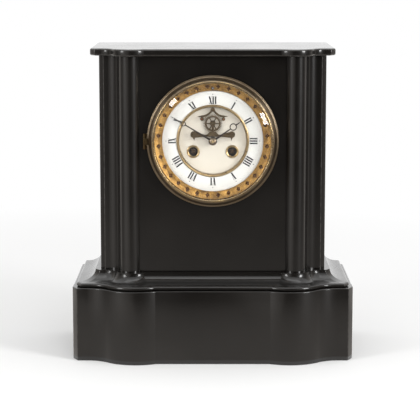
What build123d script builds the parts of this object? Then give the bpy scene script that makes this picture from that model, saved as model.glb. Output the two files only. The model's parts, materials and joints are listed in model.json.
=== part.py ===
"""Black slate mantel clock with a visible escapement, as separate pieces.

Millimetres, +Z up, the dial faces -Y, +X to the right of someone facing the dial. The origin lies under
the middle of the case, on the surface that the clock stands on. The dial, bezel and movement are drawn in
the dial frame: x right, y up, z toward the viewer, with z = 0 on the face of the front panel.
"""

import os
from math import atan2, cos, degrees, hypot, pi, radians, sin, sqrt, tau

from build123d import *

# Clearances: running fits, pieces that drop in, endways play
fit = 0.06
slip = 0.2
end_shake = 0.2

# Case sizes
plinth_width = 290.0
case_depth = 166.0
case_height = 321.0
plinth_height = 76.0
ledge_height = 15.3
slab_thickness = 7.4
body_inset = 28.1
slab_overhang = 8.6
wing_setback = 15.4
roll_rise = 5.5
slab_rounding = 2.0
plinth_arris = 1.2

# Serpentine plan: the body's roll keeps clear of the bezel; pairs are (on the body, on the plinth)
roll_from_bezel = 17.5
plinth_roll_from_side = 66.0
roll_radius = (11.0, 42.0)
cove_from_side = (8.9, 15.0)
corner_width = (4.6, 5.0)
corner_depth = (4.6, 10.0)

# Ledge moulding, outward from the body
ledge_flat = 5.4
cavetto_width = 15.3
bead_height = 4.3
bead_neck = 22.6
bead_turn = 70.0

# Slate thicknesses
panel_thickness = 14.0
pilaster_depth = 20.0
side_wall = 12.0
back_wall = 10.0
plinth_wall = 18.0
plinth_front_wing = 24.0
floor_thickness = 12.0
ledge_rim = 22.0

# Bezel and dial, radii and depths in the dial frame
dial_drop = 86.6
panel_hole = 63.0
bezel_overhang = 1.5
bezel_height = 12.0
bezel_gap = 0.3
seat_height = 3.0
seat_radius = 66.0
spigot_wall = 1.2
spigot_depth = 10.0
sight_outer = 60.0
sight_inner = 51.7
sight_floor = -1.0
ledge_inner = 55.0
dial_level = -4.0
dial_plate_thickness = 1.2
chapter_outer = 52.4
chapter_edge = 1.6
chapter_crown = 0.9
center_ring_outer = 37.2
center_ring_inner = 34.6
center_ring_top = -0.9
center_level = -7.5
enamel_thickness = 1.2
glass_inset = 6.9
glass_thickness = 2.5
glass_level = 8.0

# Hinges of the bezel and the back door
knuckle_radius = 1.7
pin_radius = 0.8
knuckle_split = 3.4
knuckle_reach = 8.0
hinge_stand_off = 0.4
lug_lap = 2.0

# Hands, at ten minutes to two
minute_angle = 301.0
hour_angle = 55.0
minute_length = 50.0
hour_length = 36.5
minute_moon = (35.0, 2.65, 1.75)
hour_moon = (25.5, 3.8, 2.75)
hand_thickness = 0.8
hour_hand_level = 0.2
minute_hand_level = 2.0
nut_radius = 3.9

# Motion work under the dial: radii and levels
center_arbor = 1.3
center_pivot = 0.9
cannon_end = 1.8
cannon_pipe = 2.1
hour_pipe = 2.9
cannon_level = -13.8
hour_wheel_level = -11.2
stud_radius = 1.0

# Movement frame
plate_radius = 48.0
plate_thickness = 2.0
front_plate_face = -16.0
plate_gap = 34.0
pillar_radius = 3.0
tenon_radius = 1.5
pillar_circle = 43.0
pillar_angles = (15, 85, 190, 240, 300)
dial_foot_circle = 45.0
dial_foot_angles = (30, 150, 270)
dial_foot_radius = 2.0
arbor_radius = 1.2
staff_radius = 1.0
wheel_thickness = 1.2
rim_width = 1.3
hub_share = 0.28
pinion_margin = 0.7

# Train: teeth of each wheel and leaves of the pinion it meshes with, and the module of both
great_teeth = (48, 8)
great_module = 0.75
intermediate_teeth = (48, 8)
intermediate_module = 0.60
center_teeth = (72, 6)
center_module = 0.40
third_teeth = (72, 6)
third_module = 0.36
cannon_teeth = (36, 12)
cannon_module = 0.50
hour_teeth = (40, 10)
hour_module = 0.48
second_teeth = (40, 8)
second_module = 0.60
pin_teeth = (60, 6)
pin_module = 0.40
locking_teeth = (54, 6)
locking_module = 0.30
warning_teeth = (48, 6)
warning_module = 0.28

# Tooth forms in modules: addendum, dedendum, half width at the tip, half width at the root
WHEEL_TOOTH = (0.9, 1.1, 0.0, 1.15)
PINION_LEAF = (0.5, 1.25, 0.25, 0.45)

# Arbor places in the dial frame
center_at = (0.0, 0.0)
winding_at = (20.0, -11.5)
escape_at = (0.0, 17.6)
anchor_at = (0.0, 32.0)
minute_wheel_turn = -90
strike_turns = (120, 70, 60, 0, 70)
hammer_at = (-39.5, 22.0)
regulator_at = (0.0, 53.6)

# Levels of the wheels, at the front face of each
barrel_top = -25.0
barrel_length = 17.0
barrel_radius = 17.0
great_level = barrel_top - barrel_length
second_level = -45.4
center_wheel_level = -20.0
third_level = -49.0
pin_wheel_level = -30.0
locking_level = -36.0
warning_level = -25.0
fly_level = -38.5

# Escapement
escape_teeth = 36
escape_tip = 10.2
escape_root = 7.9
escape_rim = 6.3
escape_level = -4.6
escape_thickness = 1.0
cock_level = -2.7
cock_thickness = 1.0
cock_foot = (19.5, 6.5)
cock_leaf = 3.4
cock_spur = 6.6
cock_post = 1.6
cock_bar = 2.4
block_foot = (8.5, 4.2)
block_head = (3.2, 9.2)
wing_root = 2.2
stone_at = (10.9, 22.3)
stone_radius = 0.8
stone_end = -6.4
anchor_eye = 2.0
anchor_arm = 1.6
anchor_crest = 1.1
anchor_tail = 4.4
arm_sag = 1.9
stone_drop = 2.8
stone_eye = 1.7
crutch_thickness = 1.2
crutch_foot = -2.0

# Winding holes, winding arbors and clicks
winding_square = 3.4
journal_radius = 2.6
journal_gap = 0.1
arbor_pivot = 1.6
great_thickness = 1.6
winding_front = -9.2
collet_outer = 6.65
collet_inner = 4.7
ratchet_teeth = 20
ratchet_tip = 7.2
ratchet_depth = 1.3
ratchet_level = -13.8
ratchet_thickness = 1.8
click_turn = 116
click_circle = 11.0
click_eye = 2.2

# Pendulum, regulator and bell behind the back plate
pendulum_length = 120.0
pendulum_level = -60.8
spring_length = 12.0
hook_length = 5.0
hook_width = 5.0
hook_depth = 4.4
thread_length = 5.0
bob_radius = 18.0
bob_thickness = 9.0
rod_radius = 1.0
cock_width = 9.0
cock_rise = 14.0
cock_arm = 3.0
regulator_radius = 0.9
bell_radius = 30.0
bell_wall = 1.6
bell_rim_level = -65.0
bell_crown_level = -86.0
bell_post_at = (34.0, -24.0)
bell_screw = 1.5
bell_crown = 8.0
bell_arm_width = 8.0

# Strike: pins, hammer and fly
pin_count = 10
pin_circle = 9.4
pin_rim = 3.4
pin_thickness = 1.0
pin_reach = 3.4
hammer_head_at = (-33.0, 11.0)
hammer_tail = 2.6
fly_span = 12.4
fly_thickness = 0.9

# Rear opening
back_hole = 58.5
back_ring_radius = 64.0
back_ring_inner = 49.0
back_ring_height = 3.0
back_spigot_depth = 8.0
back_door_radius = 61.0
back_door_thickness = 1.3
strap_width = 8.0
strap_thickness = 1.6
strap_foot = 49.2
strap_screw = 1.5
screw_from_axis = 52.5
shelf_outer = 56.0

# Worked out from the sizes above
plinth_half = plinth_width / 2
body_half = plinth_half - body_inset
plinth_panel_y = -case_depth / 2 + roll_rise
plinth_wing_y = plinth_panel_y + wing_setback
panel_y = plinth_panel_y + body_inset
wing_y = panel_y + wing_setback
slab_back_y = case_depth / 2
back_y = slab_back_y - slab_overhang
ledge_top = plinth_height + ledge_height
body_top = case_height - slab_thickness
front_plate_back = front_plate_face - plate_thickness
back_plate_face = front_plate_back - plate_gap
back_plate_back = back_plate_face - plate_thickness
rear_level = -(back_y - panel_y)
spigot_outer = panel_hole - 2 * slip
spigot_inner = spigot_outer - spigot_wall
dial_height = body_top - dial_drop
bezel_radius = seat_radius + bezel_overhang
glass_radius = bezel_radius - glass_inset
roll_from_side = (body_half - bezel_radius - roll_from_bezel, plinth_roll_from_side)
great_mesh = (*great_teeth, great_module)
intermediate_mesh = (*intermediate_teeth, intermediate_module)
center_mesh = (*center_teeth, center_module)
third_mesh = (*third_teeth, third_module)
cannon_mesh = (*cannon_teeth, cannon_module)
hour_mesh = (*hour_teeth, hour_module)
second_mesh = (*second_teeth, second_module)
pin_mesh = (*pin_teeth, pin_module)
locking_mesh = (*locking_teeth, locking_module)
warning_mesh = (*warning_teeth, warning_module)
dial_frame = Plane((0, panel_y, dial_height), x_dir=(1, 0, 0), z_dir=(0, -1, 0)).location

pieces = {}


def keep(name, shape):
    """Files a piece that is already in the clock's frame."""
    pieces[name] = shape


def keep_on_dial(name, shape):
    """Files a piece drawn in the dial frame."""
    pieces[name] = dial_frame * shape


def block(x0, x1, y0, y1, z0, z1):
    """A box between two corners."""
    return Pos((x0 + x1) / 2, (y0 + y1) / 2, (z0 + z1) / 2) * Box(x1 - x0, y1 - y0, z1 - z0)


def rod(radius, z0, z1, at=(0, 0)):
    """A round bar along the dial frame's z."""
    return Pos(at[0], at[1], (z0 + z1) / 2) * Cylinder(radius, abs(z1 - z0))


def plate(sketch, z0, z1):
    """A flat piece between two levels of the dial frame."""
    return Pos(0, 0, min(z0, z1)) * extrude(sketch, abs(z1 - z0), dir=(0, 0, 1))


def turned(*profile):
    """A turned piece from its half section, as (radius, z) points."""
    return revolve(Plane.XZ * make_face(Polyline(*profile, close=True)), Axis.Z)


def polar(radius, angle, at=(0, 0)):
    """The point at a radius and an angle in degrees round a center."""
    return (at[0] + radius * cos(radians(angle)), at[1] + radius * sin(radians(angle)))


def between(pair, share):
    """A plan value between the body's, at share 0, and the plinth's, at share 1."""
    return pair[0] + (pair[1] - pair[0]) * share


def roll_start(share):
    """Half the width of the flat panel between the two rolls."""
    half = between((body_half, plinth_half), share)
    radius = between(roll_radius, share)
    return half - between(roll_from_side, share) - sqrt(radius**2 - (radius - roll_rise) ** 2)


def case_plan(share, rear_y):
    """The serpentine plan: flat panel, convex roll, concave cove, flat wing and cut corner on each side."""
    half = between((body_half, plinth_half), share)
    panel = between((panel_y, plinth_panel_y), share)
    wing = panel + wing_setback
    radius = between(roll_radius, share)
    roll_x = half - between(roll_from_side, share)
    cove_x = half - between(cove_from_side, share)
    corner_x = half - between(corner_width, share)
    corner_y = wing + between(corner_depth, share)
    roll_y = panel - roll_rise + radius
    drop = roll_y - wing
    run = cove_x - roll_x
    cove_radius = (run**2 + drop**2 - radius**2) / (2 * (radius - drop))
    roll_center = Vector(roll_x, roll_y)
    cove_center = Vector(cove_x, wing - cove_radius)
    turn = roll_center + (cove_center - roll_center).normalized() * radius
    bisector = ((turn - cove_center).normalized() + Vector(0, 1)).normalized()
    cove_middle = cove_center + bisector * cove_radius
    start_x = roll_start(share)

    edges = [Line((-start_x, panel), (start_x, panel)), Line((-half, rear_y), (half, rear_y))]
    for side in (-1, 1):
        inflection = (side * turn.X, turn.Y)
        foot = (side * cove_x, wing)
        corner = [(side * corner_x, wing), (side * half, corner_y), (side * half, rear_y)]
        edges.append(ThreePointArc((side * start_x, panel), (side * roll_x, panel - roll_rise), inflection))
        edges.append(ThreePointArc(inflection, (side * cove_middle.X, cove_middle.Y), foot))
        edges.append(Polyline(foot, *corner))
    return make_face(edges)


def outward(distance):
    """The plan share of an outline this far outside the body's."""
    return distance / body_inset


def moulded(steps, rear_y):
    """A solid through plans at a row of (distance outside the body, z)."""
    return loft([Pos(0, 0, z) * case_plan(outward(out), rear_y) for out, z in steps])


def quarter_steps(count=4):
    """Angles over a quarter turn, in radians."""
    return [pi / 2 * i / count for i in range(count + 1)]


def make_case():
    """The slate slabs of the case."""
    body_plan = case_plan(0, back_y)
    body = Pos(0, 0, ledge_top) * extrude(body_plan, body_top - ledge_top)
    panel_half = roll_start(0)
    corner_back = wing_y + pilaster_depth
    inner_half = body_half - side_wall
    front = block(-panel_half, panel_half, panel_y, panel_y + panel_thickness, ledge_top, body_top)
    keep("front_panel", front - dial_frame * rod(panel_hole, 1, -panel_thickness - 1))
    for side, name in ((-1, "left"), (1, "right")):
        x0, x1 = sorted((side * panel_half, side * plinth_half))
        keep(f"{name}_pilaster", body & block(x0, x1, -case_depth, corner_back, 0, case_height))
        x0, x1 = sorted((side * inner_half, side * body_half))
        keep(f"{name}_side_panel", block(x0, x1, corner_back, back_y, ledge_top, body_top))
    rear = block(-inner_half, inner_half, back_y - back_wall, back_y, ledge_top, body_top)
    keep("back_panel", rear - dial_frame * rod(back_hole, rear_level - 1, rear_level + back_wall + 1))
    make_slab()
    make_ledge(inner_half, corner_back)
    make_plinth()


def make_slab():
    """The thin top slab with rounded edges."""
    low = [
        (slab_overhang - slab_rounding * (1 - sin(a)), body_top + slab_rounding * (1 - cos(a)))
        for a in quarter_steps(2)
    ]
    high = [(out, case_height + body_top - z) for out, z in reversed(low)]
    bottom = low[-1][1]
    flat = extrude(case_plan(outward(slab_overhang), slab_back_y), high[0][1] - bottom)
    keep("top_slab", moulded(low, slab_back_y) + Pos(0, 0, bottom) * flat + moulded(high, slab_back_y))


def make_ledge(inner_half, corner_back):
    """The moulding between body and plinth: a flat, a cavetto and a bead, open inside for the pendulum."""
    cavetto_drop = ledge_height - bead_height
    cavetto = []
    for angle in quarter_steps():
        out = ledge_flat + cavetto_width * (1 - cos(angle))
        cavetto.append((out, ledge_top - cavetto_drop * sin(angle)))
    bead_radius = bead_height / 2 / sin(radians(bead_turn))
    bead_middle = plinth_height + bead_height / 2
    bead = []
    for angle in (bead_turn, bead_turn / 2, 0, -bead_turn / 2, -bead_turn):
        swell = bead_radius * (cos(radians(angle)) - cos(radians(bead_turn)))
        bead.append((bead_neck + swell, bead_middle + bead_radius * sin(radians(angle))))
    well_half = inner_half - ledge_rim
    well = block(-well_half, well_half, corner_back, back_y - ledge_rim, 0, case_height)
    keep("ledge_moulding", moulded(cavetto, back_y) + moulded(bead, back_y) - well)


def make_plinth():
    """The plinth walls, cut from one serpentine block, and the floor between them."""
    top = plinth_height - plinth_arris
    arris = [(body_inset, top), (body_inset - plinth_arris, plinth_height)]
    whole = extrude(case_plan(1, back_y), top) + moulded(arris, back_y)
    inner_half = plinth_half - plinth_wall
    front_back = plinth_wing_y + plinth_front_wing
    inner_back = back_y - plinth_wall
    walls = {
        "plinth_front": (-plinth_half, plinth_half, -case_depth, front_back),
        "plinth_left_side": (-plinth_half, -inner_half, front_back, back_y),
        "plinth_right_side": (inner_half, plinth_half, front_back, back_y),
        "plinth_back": (-inner_half, inner_half, inner_back, back_y),
    }
    for name, sides in walls.items():
        keep(name, whole & block(*sides, 0, plinth_height))
    keep("base_floor", block(-inner_half, inner_half, front_back, inner_back, 0, floor_thickness))


def upright(x, z):
    """The place of a line along the dial frame's y."""
    return Plane((x, 0, z), x_dir=(1, 0, 0), z_dir=(0, 1, 0)).location


def knuckles(axis_x, axis_z, spans):
    """Hinge knuckles along the dial frame's y, one for each (low, high) span."""
    line = upright(axis_x, axis_z)
    return [line * Pos(0, 0, low) * extrude(Circle(knuckle_radius), high - low) for low, high in spans]


def hinge_bar(axis_x, axis_z, radius):
    """A round bar along the whole of a hinge line."""
    return upright(axis_x, axis_z) * Cylinder(radius, 2 * knuckle_reach)


def fixed_leaf(axis_x, axis_z, inner_x, z0, z1):
    """The outer two knuckles of a hinge with their lugs and pin."""
    outer = [(knuckle_split + bezel_gap, knuckle_reach), (-knuckle_reach, -knuckle_split - bezel_gap)]
    lugs = [block(axis_x, inner_x, low, high, z0, z1) for low, high in outer]
    return knuckles(axis_x, axis_z, outer) + lugs + [hinge_bar(axis_x, axis_z, pin_radius)]


def moving_leaf(axis_x, axis_z, inner_x, z0, z1):
    """The middle knuckle of a hinge with its lug, before boring."""
    middle = (-knuckle_split, knuckle_split)
    return knuckles(axis_x, axis_z, [middle]) + [block(axis_x, inner_x, *middle, z0, z1)]


def make_bezel():
    """The fixed seat, the hinged rim and its bevelled glass."""
    hinge_x = -(bezel_radius + knuckle_radius + hinge_stand_off)
    hinge_z = seat_height
    pocket = sight_outer + slip
    seat = turned(
        (seat_radius, 0), (seat_radius, seat_height), (pocket, seat_height), (pocket, sight_floor),
        (ledge_inner, sight_floor), (ledge_inner, dial_level), (spigot_inner, dial_level),
        (spigot_inner, -spigot_depth), (spigot_outer, -spigot_depth), (spigot_outer, 0),
    )
    leaf = fixed_leaf(hinge_x, hinge_z, -seat_radius + lug_lap, slip, seat_height)
    keep_on_dial("bezel_seat", seat + leaf)

    foot = seat_height + bezel_gap
    inner = seat_radius - 4
    groove = glass_radius + slip
    lip = groove - 1.2
    glass_top = glass_level + glass_thickness
    rim = turned(
        (inner, foot), (bezel_radius, foot), (bezel_radius, foot + 2), (bezel_radius - 1.1, foot + 2.8),
        (bezel_radius - 5.1, bezel_height - 0.8), (bezel_radius - 6.1, bezel_height),
        (groove - 0.4, bezel_height), (lip, bezel_height - 0.8), (lip, glass_top), (groove, glass_top),
        (groove, glass_level), (groove - 0.6, glass_level), (groove - 0.6, glass_level - 1.2),
        (inner, glass_level - 2.4),
    )
    bore = hinge_bar(hinge_x, hinge_z, pin_radius + fit)
    leaf = moving_leaf(hinge_x, hinge_z, -bezel_radius + lug_lap, foot, hinge_z + knuckle_radius)
    keep_on_dial("bezel_rim", rim + leaf - bore)
    bevel = 0.8
    keep_on_dial(
        "bezel_glass",
        turned(
            (0, glass_level), (glass_radius, glass_level), (glass_radius, glass_top - bevel),
            (glass_radius - 4 * bevel, glass_top), (0, glass_top),
        ),
    )


def make_dial():
    """The sight ring, dial plate, enamel chapter ring and recessed enamel center."""
    regulator_hole = rod(1.2, 5, -10, regulator_at)
    sight = turned(
        (sight_inner, sight_floor), (sight_outer, sight_floor), (sight_outer, 2.0), (sight_outer - 1, 2.6),
        (sight_outer - 2.4, 2.0), (sight_inner + 1.7, 0.6), (sight_inner + 0.7, 0.9), (sight_inner, 0.5),
    )
    keep_on_dial("sight_ring", sight - regulator_hole)

    plate_back = dial_level - dial_plate_thickness
    dial_plate = plate(Circle(spigot_inner - slip) - Circle(center_ring_outer + fit), dial_level, plate_back)
    feet = []
    for angle in dial_foot_angles:
        feet.append(rod(dial_foot_radius, plate_back, front_plate_face, polar(dial_foot_circle, angle)))
    keep_on_dial("dial_plate", dial_plate - regulator_hole + feet)

    chapter_inner = center_ring_outer + 0.1
    chapter_level = dial_level + chapter_edge
    chapter_middle = ((chapter_inner + chapter_outer) / 2, chapter_level + chapter_crown)
    section = [
        ThreePointArc((chapter_inner, chapter_level), chapter_middle, (chapter_outer, chapter_level)),
        Polyline(
            (chapter_outer, chapter_level), (chapter_outer, dial_level), (chapter_inner, dial_level),
            (chapter_inner, chapter_level),
        ),
    ]
    keep_on_dial("chapter_ring", revolve(Plane.XZ * make_face(section), Axis.Z))

    center_back = center_level - enamel_thickness
    lip = center_ring_inner - 1.2
    center_ring = turned(
        (center_ring_inner, center_back), (lip, center_back), (lip, center_back - 0.9),
        (center_ring_outer, center_back - 0.9), (center_ring_outer, center_ring_top - 0.4),
        (center_ring_outer - 0.9, center_ring_top), (center_ring_inner + 0.5, center_ring_top - 0.3),
        (center_ring_inner, center_ring_top - 1),
    )
    keep_on_dial("center_ring", center_ring)

    face = Circle(center_ring_inner - slip)
    for x in (-winding_at[0], winding_at[0]):
        face -= Pos(x, winding_at[1]) * Circle(collet_outer + 0.05)
    for x in (-cock_foot[0], cock_foot[0]):
        face -= Pos(x, cock_foot[1]) * Circle(cock_post + 0.4)
    face -= Pos(*escape_at) * Circle(3.0)
    face -= Pos(*anchor_at) * Circle(staff_radius + 0.7)
    face -= Circle(hour_pipe + 0.6)
    keep_on_dial("center_dial", plate(face, center_level, center_back))

    collet = turned(
        (collet_inner, center_back), (collet_outer, center_back), (collet_outer, center_level + 0.7),
        (collet_outer - 0.7, center_level + 1.1), (collet_inner, center_level + 0.5),
    )
    collets = [Pos(x, winding_at[1]) * collet for x in (-winding_at[0], winding_at[0])]
    keep_on_dial("winding_hole_collets", Part() + collets)


def hand(length, moon, hub, bore):
    """A moon hand along x: hub, tapering stem, pierced ring and pointed tip."""
    ring_at, ring_outer, ring_inner = moon
    near = ring_at - ring_outer + 0.3
    far = ring_at + ring_outer - 0.3
    stem = Polygon((0, -1.1), (near, -0.55), (near, 0.55), (0, 1.1), align=None)
    tip = Polygon((far, -0.7), (length, -0.12), (length, 0.12), (far, 0.7), align=None)
    ring = Pos(ring_at) * (Circle(ring_outer) - Circle(ring_inner))
    return stem + tip + ring + Circle(hub) - Circle(bore)


def make_hands():
    """The moon hands and the domed nut that holds them."""
    hour = Rot(0, 0, 90 - hour_angle) * hand(hour_length, hour_moon, 4.3, hour_pipe + fit / 2)
    keep_on_dial("hour_hand", plate(hour, hour_hand_level, hour_hand_level + hand_thickness))
    minute = Rot(0, 0, 90 - minute_angle) * hand(minute_length, minute_moon, 3.5, cannon_end + fit / 2)
    top = minute_hand_level + hand_thickness
    keep_on_dial("minute_hand", plate(minute, minute_hand_level, top))
    bore = center_arbor + fit / 2
    dome = [
        ThreePointArc((nut_radius, top + 0.5), (nut_radius * 0.78, top + 1.4), (bore, top + 2.0)),
        Polyline((bore, top + 2.0), (bore, top), (nut_radius, top), (nut_radius, top + 0.5)),
    ]
    keep_on_dial("hand_nut", revolve(Plane.XZ * make_face(dome), Axis.Z))


def pitch_radius(teeth, module):
    """The pitch radius of a wheel or pinion."""
    return teeth * module / 2


def reach(mesh):
    """The center distance of a wheel and the pinion that it meshes with."""
    wheel, pinion, module = mesh
    return pitch_radius(wheel + pinion, module)


def meeting(first, first_reach, second, second_reach, side):
    """The point at two reaches from two centers, left (1) or right (-1) of the line between them."""
    gap = hypot(second[0] - first[0], second[1] - first[1])
    along = (gap**2 + first_reach**2 - second_reach**2) / (2 * gap)
    turn = atan2(second[1] - first[1], second[0] - first[0])
    turn += side * atan2(sqrt(first_reach**2 - along**2), along)
    return polar(first_reach, degrees(turn), first)


def mesh_phase(wheel_at, wheel_teeth, wheel_phase, other_at, other_teeth):
    """The angle of a tooth of the other wheel that puts its gaps where this wheel's teeth are."""
    line = atan2(other_at[1] - wheel_at[1], other_at[0] - wheel_at[0])
    pitch = tau / wheel_teeth
    offset = (wheel_phase - line + pitch / 2) % pitch - pitch / 2
    return line + pi - offset * wheel_teeth / other_teeth + pi / other_teeth


def toothed(teeth, module, phase, form):
    """A toothed outline: pointed teeth where the tip has no width, else leaves with a flat tip."""
    addendum, dedendum, tip_half, root_half = (module * value for value in form)
    tip = pitch_radius(teeth, module) + addendum
    root = pitch_radius(teeth, module) - dedendum
    points = []
    for i in range(teeth):
        middle = phase + tau * i / teeth
        flanks = [(root, -root_half / root), (tip, -tip_half / tip)]
        if tip_half > 0:
            flanks.append((tip, tip_half / tip))
        flanks.append((root, root_half / root))
        points += [(r * cos(middle + a), r * sin(middle + a)) for r, a in flanks]
    return make_face(Polyline(*points, close=True))


def crossed(outline, rim, hub, arms=4):
    """A wheel outline opened between its rim and its hub, with crossings."""
    spoke = Rectangle(2 * rim + 0.4, hub * 0.6)
    spokes = [Rot(0, 0, 360 / arms * i) * spoke for i in range(arms // 2)]
    return outline - Circle(rim) + Circle(hub) + spokes


def wheel(mesh, level, rim_width):
    """The brass wheel of a mesh, front face at a level, first tooth along x."""
    teeth, _, module = mesh
    outline = toothed(teeth, module, 0, WHEEL_TOOTH)
    root = pitch_radius(teeth, module) - WHEEL_TOOTH[1] * module
    return plate(crossed(outline, root - rim_width, root * hub_share), level, level - wheel_thickness)


def pinion(mesh, phase, level):
    """The pinion of a mesh, a little longer than the thickness of the wheel at that level."""
    _, leaves, module = mesh
    outline = toothed(leaves, module, phase, PINION_LEAF)
    return plate(outline, level + pinion_margin, level - wheel_thickness - pinion_margin)


def core(mesh):
    """An arbor radius that stays under a pinion's roots."""
    _, leaves, module = mesh
    return min(arbor_radius, 0.9 * (pitch_radius(leaves, module) - PINION_LEAF[1] * module))


def pivot(mesh):
    """The pivot radius of the arbor that carries a pinion."""
    return 0.7 * core(mesh)


def arbor(mesh):
    """A pinion arbor between the plates, with a pivot in each."""
    front = front_plate_back - end_shake
    back = back_plate_face + end_shake
    return [rod(core(mesh), front, back), rod(pivot(mesh), front_plate_face, back_plate_back)]


going_at = winding_at
strike_at = (-winding_at[0], winding_at[1])
intermediate_at = meeting(center_at, reach(intermediate_mesh), going_at, reach(great_mesh), 1)
third_at = meeting(center_at, reach(center_mesh), escape_at, reach(third_mesh), 1)
minute_wheel_at = polar(reach(cannon_mesh), minute_wheel_turn)
second_at = polar(reach(great_mesh), strike_turns[0], strike_at)
pin_wheel_at = polar(reach(second_mesh), strike_turns[1], second_at)
locking_at = polar(reach(pin_mesh), strike_turns[2], pin_wheel_at)
warning_at = polar(reach(locking_mesh), strike_turns[3], locking_at)
fly_at = polar(reach(warning_mesh), strike_turns[4], warning_at)


def driven(mesh, wheel_at, at):
    """The phase of a pinion at one place, driven by a wheel whose first tooth lies along x."""
    teeth, leaves, _ = mesh
    return mesh_phase(wheel_at, teeth, 0, at, leaves)


def train_wheel(own_mesh, own_level, drive_mesh, drive_at, drive_level, at, width=rim_width):
    """A wheel riveted on its pinion arbor, in mesh with the wheel that drives it."""
    parts = [pinion(drive_mesh, driven(drive_mesh, drive_at, at), drive_level), *arbor(drive_mesh)]
    return Pos(*at) * (wheel(own_mesh, own_level, width) + parts)


def barrel(at):
    """A spring barrel with its great wheel, closed, bored for the winding arbor."""
    teeth, _, module = great_mesh
    bore = journal_radius + journal_gap
    drum = turned(
        (bore, barrel_top + 1), (4.5, barrel_top + 1), (4.5, barrel_top), (barrel_radius, barrel_top),
        (barrel_radius, great_level), (bore, great_level),
    )
    gear = toothed(teeth, module, 0, WHEEL_TOOTH) - Circle(bore)
    return Pos(*at) * (drum + plate(gear, great_level, great_level - great_thickness))


def ratchet(side):
    """A ratchet outline whose teeth lean against their click."""
    step = 360 / ratchet_teeth
    points = []
    for i in range(ratchet_teeth):
        points.append(polar(ratchet_tip, side * i * step))
        points.append(polar(ratchet_tip - ratchet_depth, side * (i + 0.12) * step))
    return make_face(Polyline(*points, close=True))


def winding_arbor(side):
    """A winding arbor: square for the key, ratchet, journal through the barrel and rear pivot."""
    square = plate(Rectangle(winding_square, winding_square), winding_front, ratchet_level)
    wheel_part = plate(ratchet(side), ratchet_level, ratchet_level - ratchet_thickness)
    shaft = rod(journal_radius, ratchet_level - ratchet_thickness, back_plate_face + end_shake)
    return square + [wheel_part, shaft, rod(arbor_pivot, back_plate_face + 1, back_plate_back)]


def click():
    """The right-hand click about its winding arbor: an eye on its stud and a nose clear of the ratchet."""
    eye = polar(click_circle, click_turn)
    nose_low = polar(ratchet_tip + 0.35, click_turn - 38)
    nose_high = polar(ratchet_tip + 1.4, click_turn - 36)
    inner = polar(click_eye, click_turn + 146, eye)
    outer = polar(click_eye, click_turn - 50, eye)
    arm = Polygon(nose_high, outer, inner, nose_low, align=None)
    body = arm + Pos(*eye) * Circle(click_eye) - Pos(*eye) * Circle(stud_radius + fit)
    return plate(body, ratchet_level, ratchet_level - ratchet_thickness)


def make_winding():
    """The barrels, winding arbors and clicks of both trains."""
    for name, at, side in (("going", going_at, 1), ("strike", strike_at, -1)):
        keep_on_dial(f"{name}_barrel", barrel(at))
        keep_on_dial(f"{name}_winding_arbor", Pos(*at) * winding_arbor(side))
        shape = click() if side > 0 else mirror(click(), Plane.YZ)
        keep_on_dial(f"{name}_click", Pos(*at) * shape)


def make_going_train():
    """The wheels from the going barrel to the escape wheel."""
    keep_on_dial(
        "intermediate_wheel",
        train_wheel(intermediate_mesh, second_level, great_mesh, going_at, great_level, intermediate_at),
    )
    top = minute_hand_level + hand_thickness + 1.6
    phase = driven(intermediate_mesh, intermediate_at, center_at)
    center = wheel(center_mesh, center_wheel_level, rim_width)
    center += [
        pinion(intermediate_mesh, phase, second_level),
        rod(center_arbor, top, back_plate_face + end_shake),
        rod(center_pivot, back_plate_face + 1, back_plate_back),
    ]
    keep_on_dial("center_wheel", center)
    third = train_wheel(third_mesh, third_level, center_mesh, center_at, center_wheel_level, third_at)
    keep_on_dial("third_wheel", third)
    make_escape_wheel()


def make_escape_wheel():
    """The escape wheel, with fine pointed teeth, on its long arbor."""
    step = 360 / escape_teeth
    points = []
    for i in range(escape_teeth):
        for radius, share in ((escape_root, -0.22), (escape_tip, 0), (escape_root, 0.3)):
            points.append(polar(radius, (i + share) * step))
    outline = crossed(make_face(Polyline(*points, close=True)), escape_rim, 1.9, 6)
    disc = plate(outline, escape_level, escape_level - escape_thickness)
    leaves = pinion(third_mesh, driven(third_mesh, third_at, escape_at), third_level)
    shaft = [
        rod(core(third_mesh), cock_level - cock_thickness - end_shake, back_plate_face + end_shake),
        rod(pivot(third_mesh), cock_level - 0.2, back_plate_back),
    ]
    keep_on_dial("escape_wheel", Pos(*escape_at) * (disc + [leaves, *shaft]))


def make_motion_work():
    """The cannon pinion, minute wheel and hour wheel that drive the hands."""
    pipe = rod(cannon_pipe, cannon_level, minute_hand_level)
    end = rod(cannon_end, 0, minute_hand_level + hand_thickness)
    cannon = pinion(cannon_mesh, 0, cannon_level) + [pipe, end]
    keep_on_dial("cannon_pinion", cannon - rod(center_arbor + fit / 2, 5, -20))

    teeth, leaves, module = cannon_mesh
    phase = mesh_phase(center_at, leaves, 0, minute_wheel_at, teeth)
    disc = plate(toothed(teeth, module, phase, WHEEL_TOOTH), cannon_level, cannon_level - wheel_thickness)
    teeth, leaves, module = hour_mesh
    small = plate(toothed(leaves, module, 0, PINION_LEAF), cannon_level, hour_wheel_level + 0.8)
    keep_on_dial("minute_wheel", Pos(*minute_wheel_at) * (disc + small - rod(stud_radius + fit, 0, -20)))

    phase = mesh_phase(minute_wheel_at, leaves, 0, center_at, teeth)
    back = hour_wheel_level - wheel_thickness
    disc = plate(toothed(teeth, module, phase, WHEEL_TOOTH), hour_wheel_level, back)
    pipe = rod(hour_pipe, back, hour_hand_level + hand_thickness)
    keep_on_dial("hour_wheel", disc + pipe - rod(cannon_pipe + fit, 5, -20))


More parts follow.
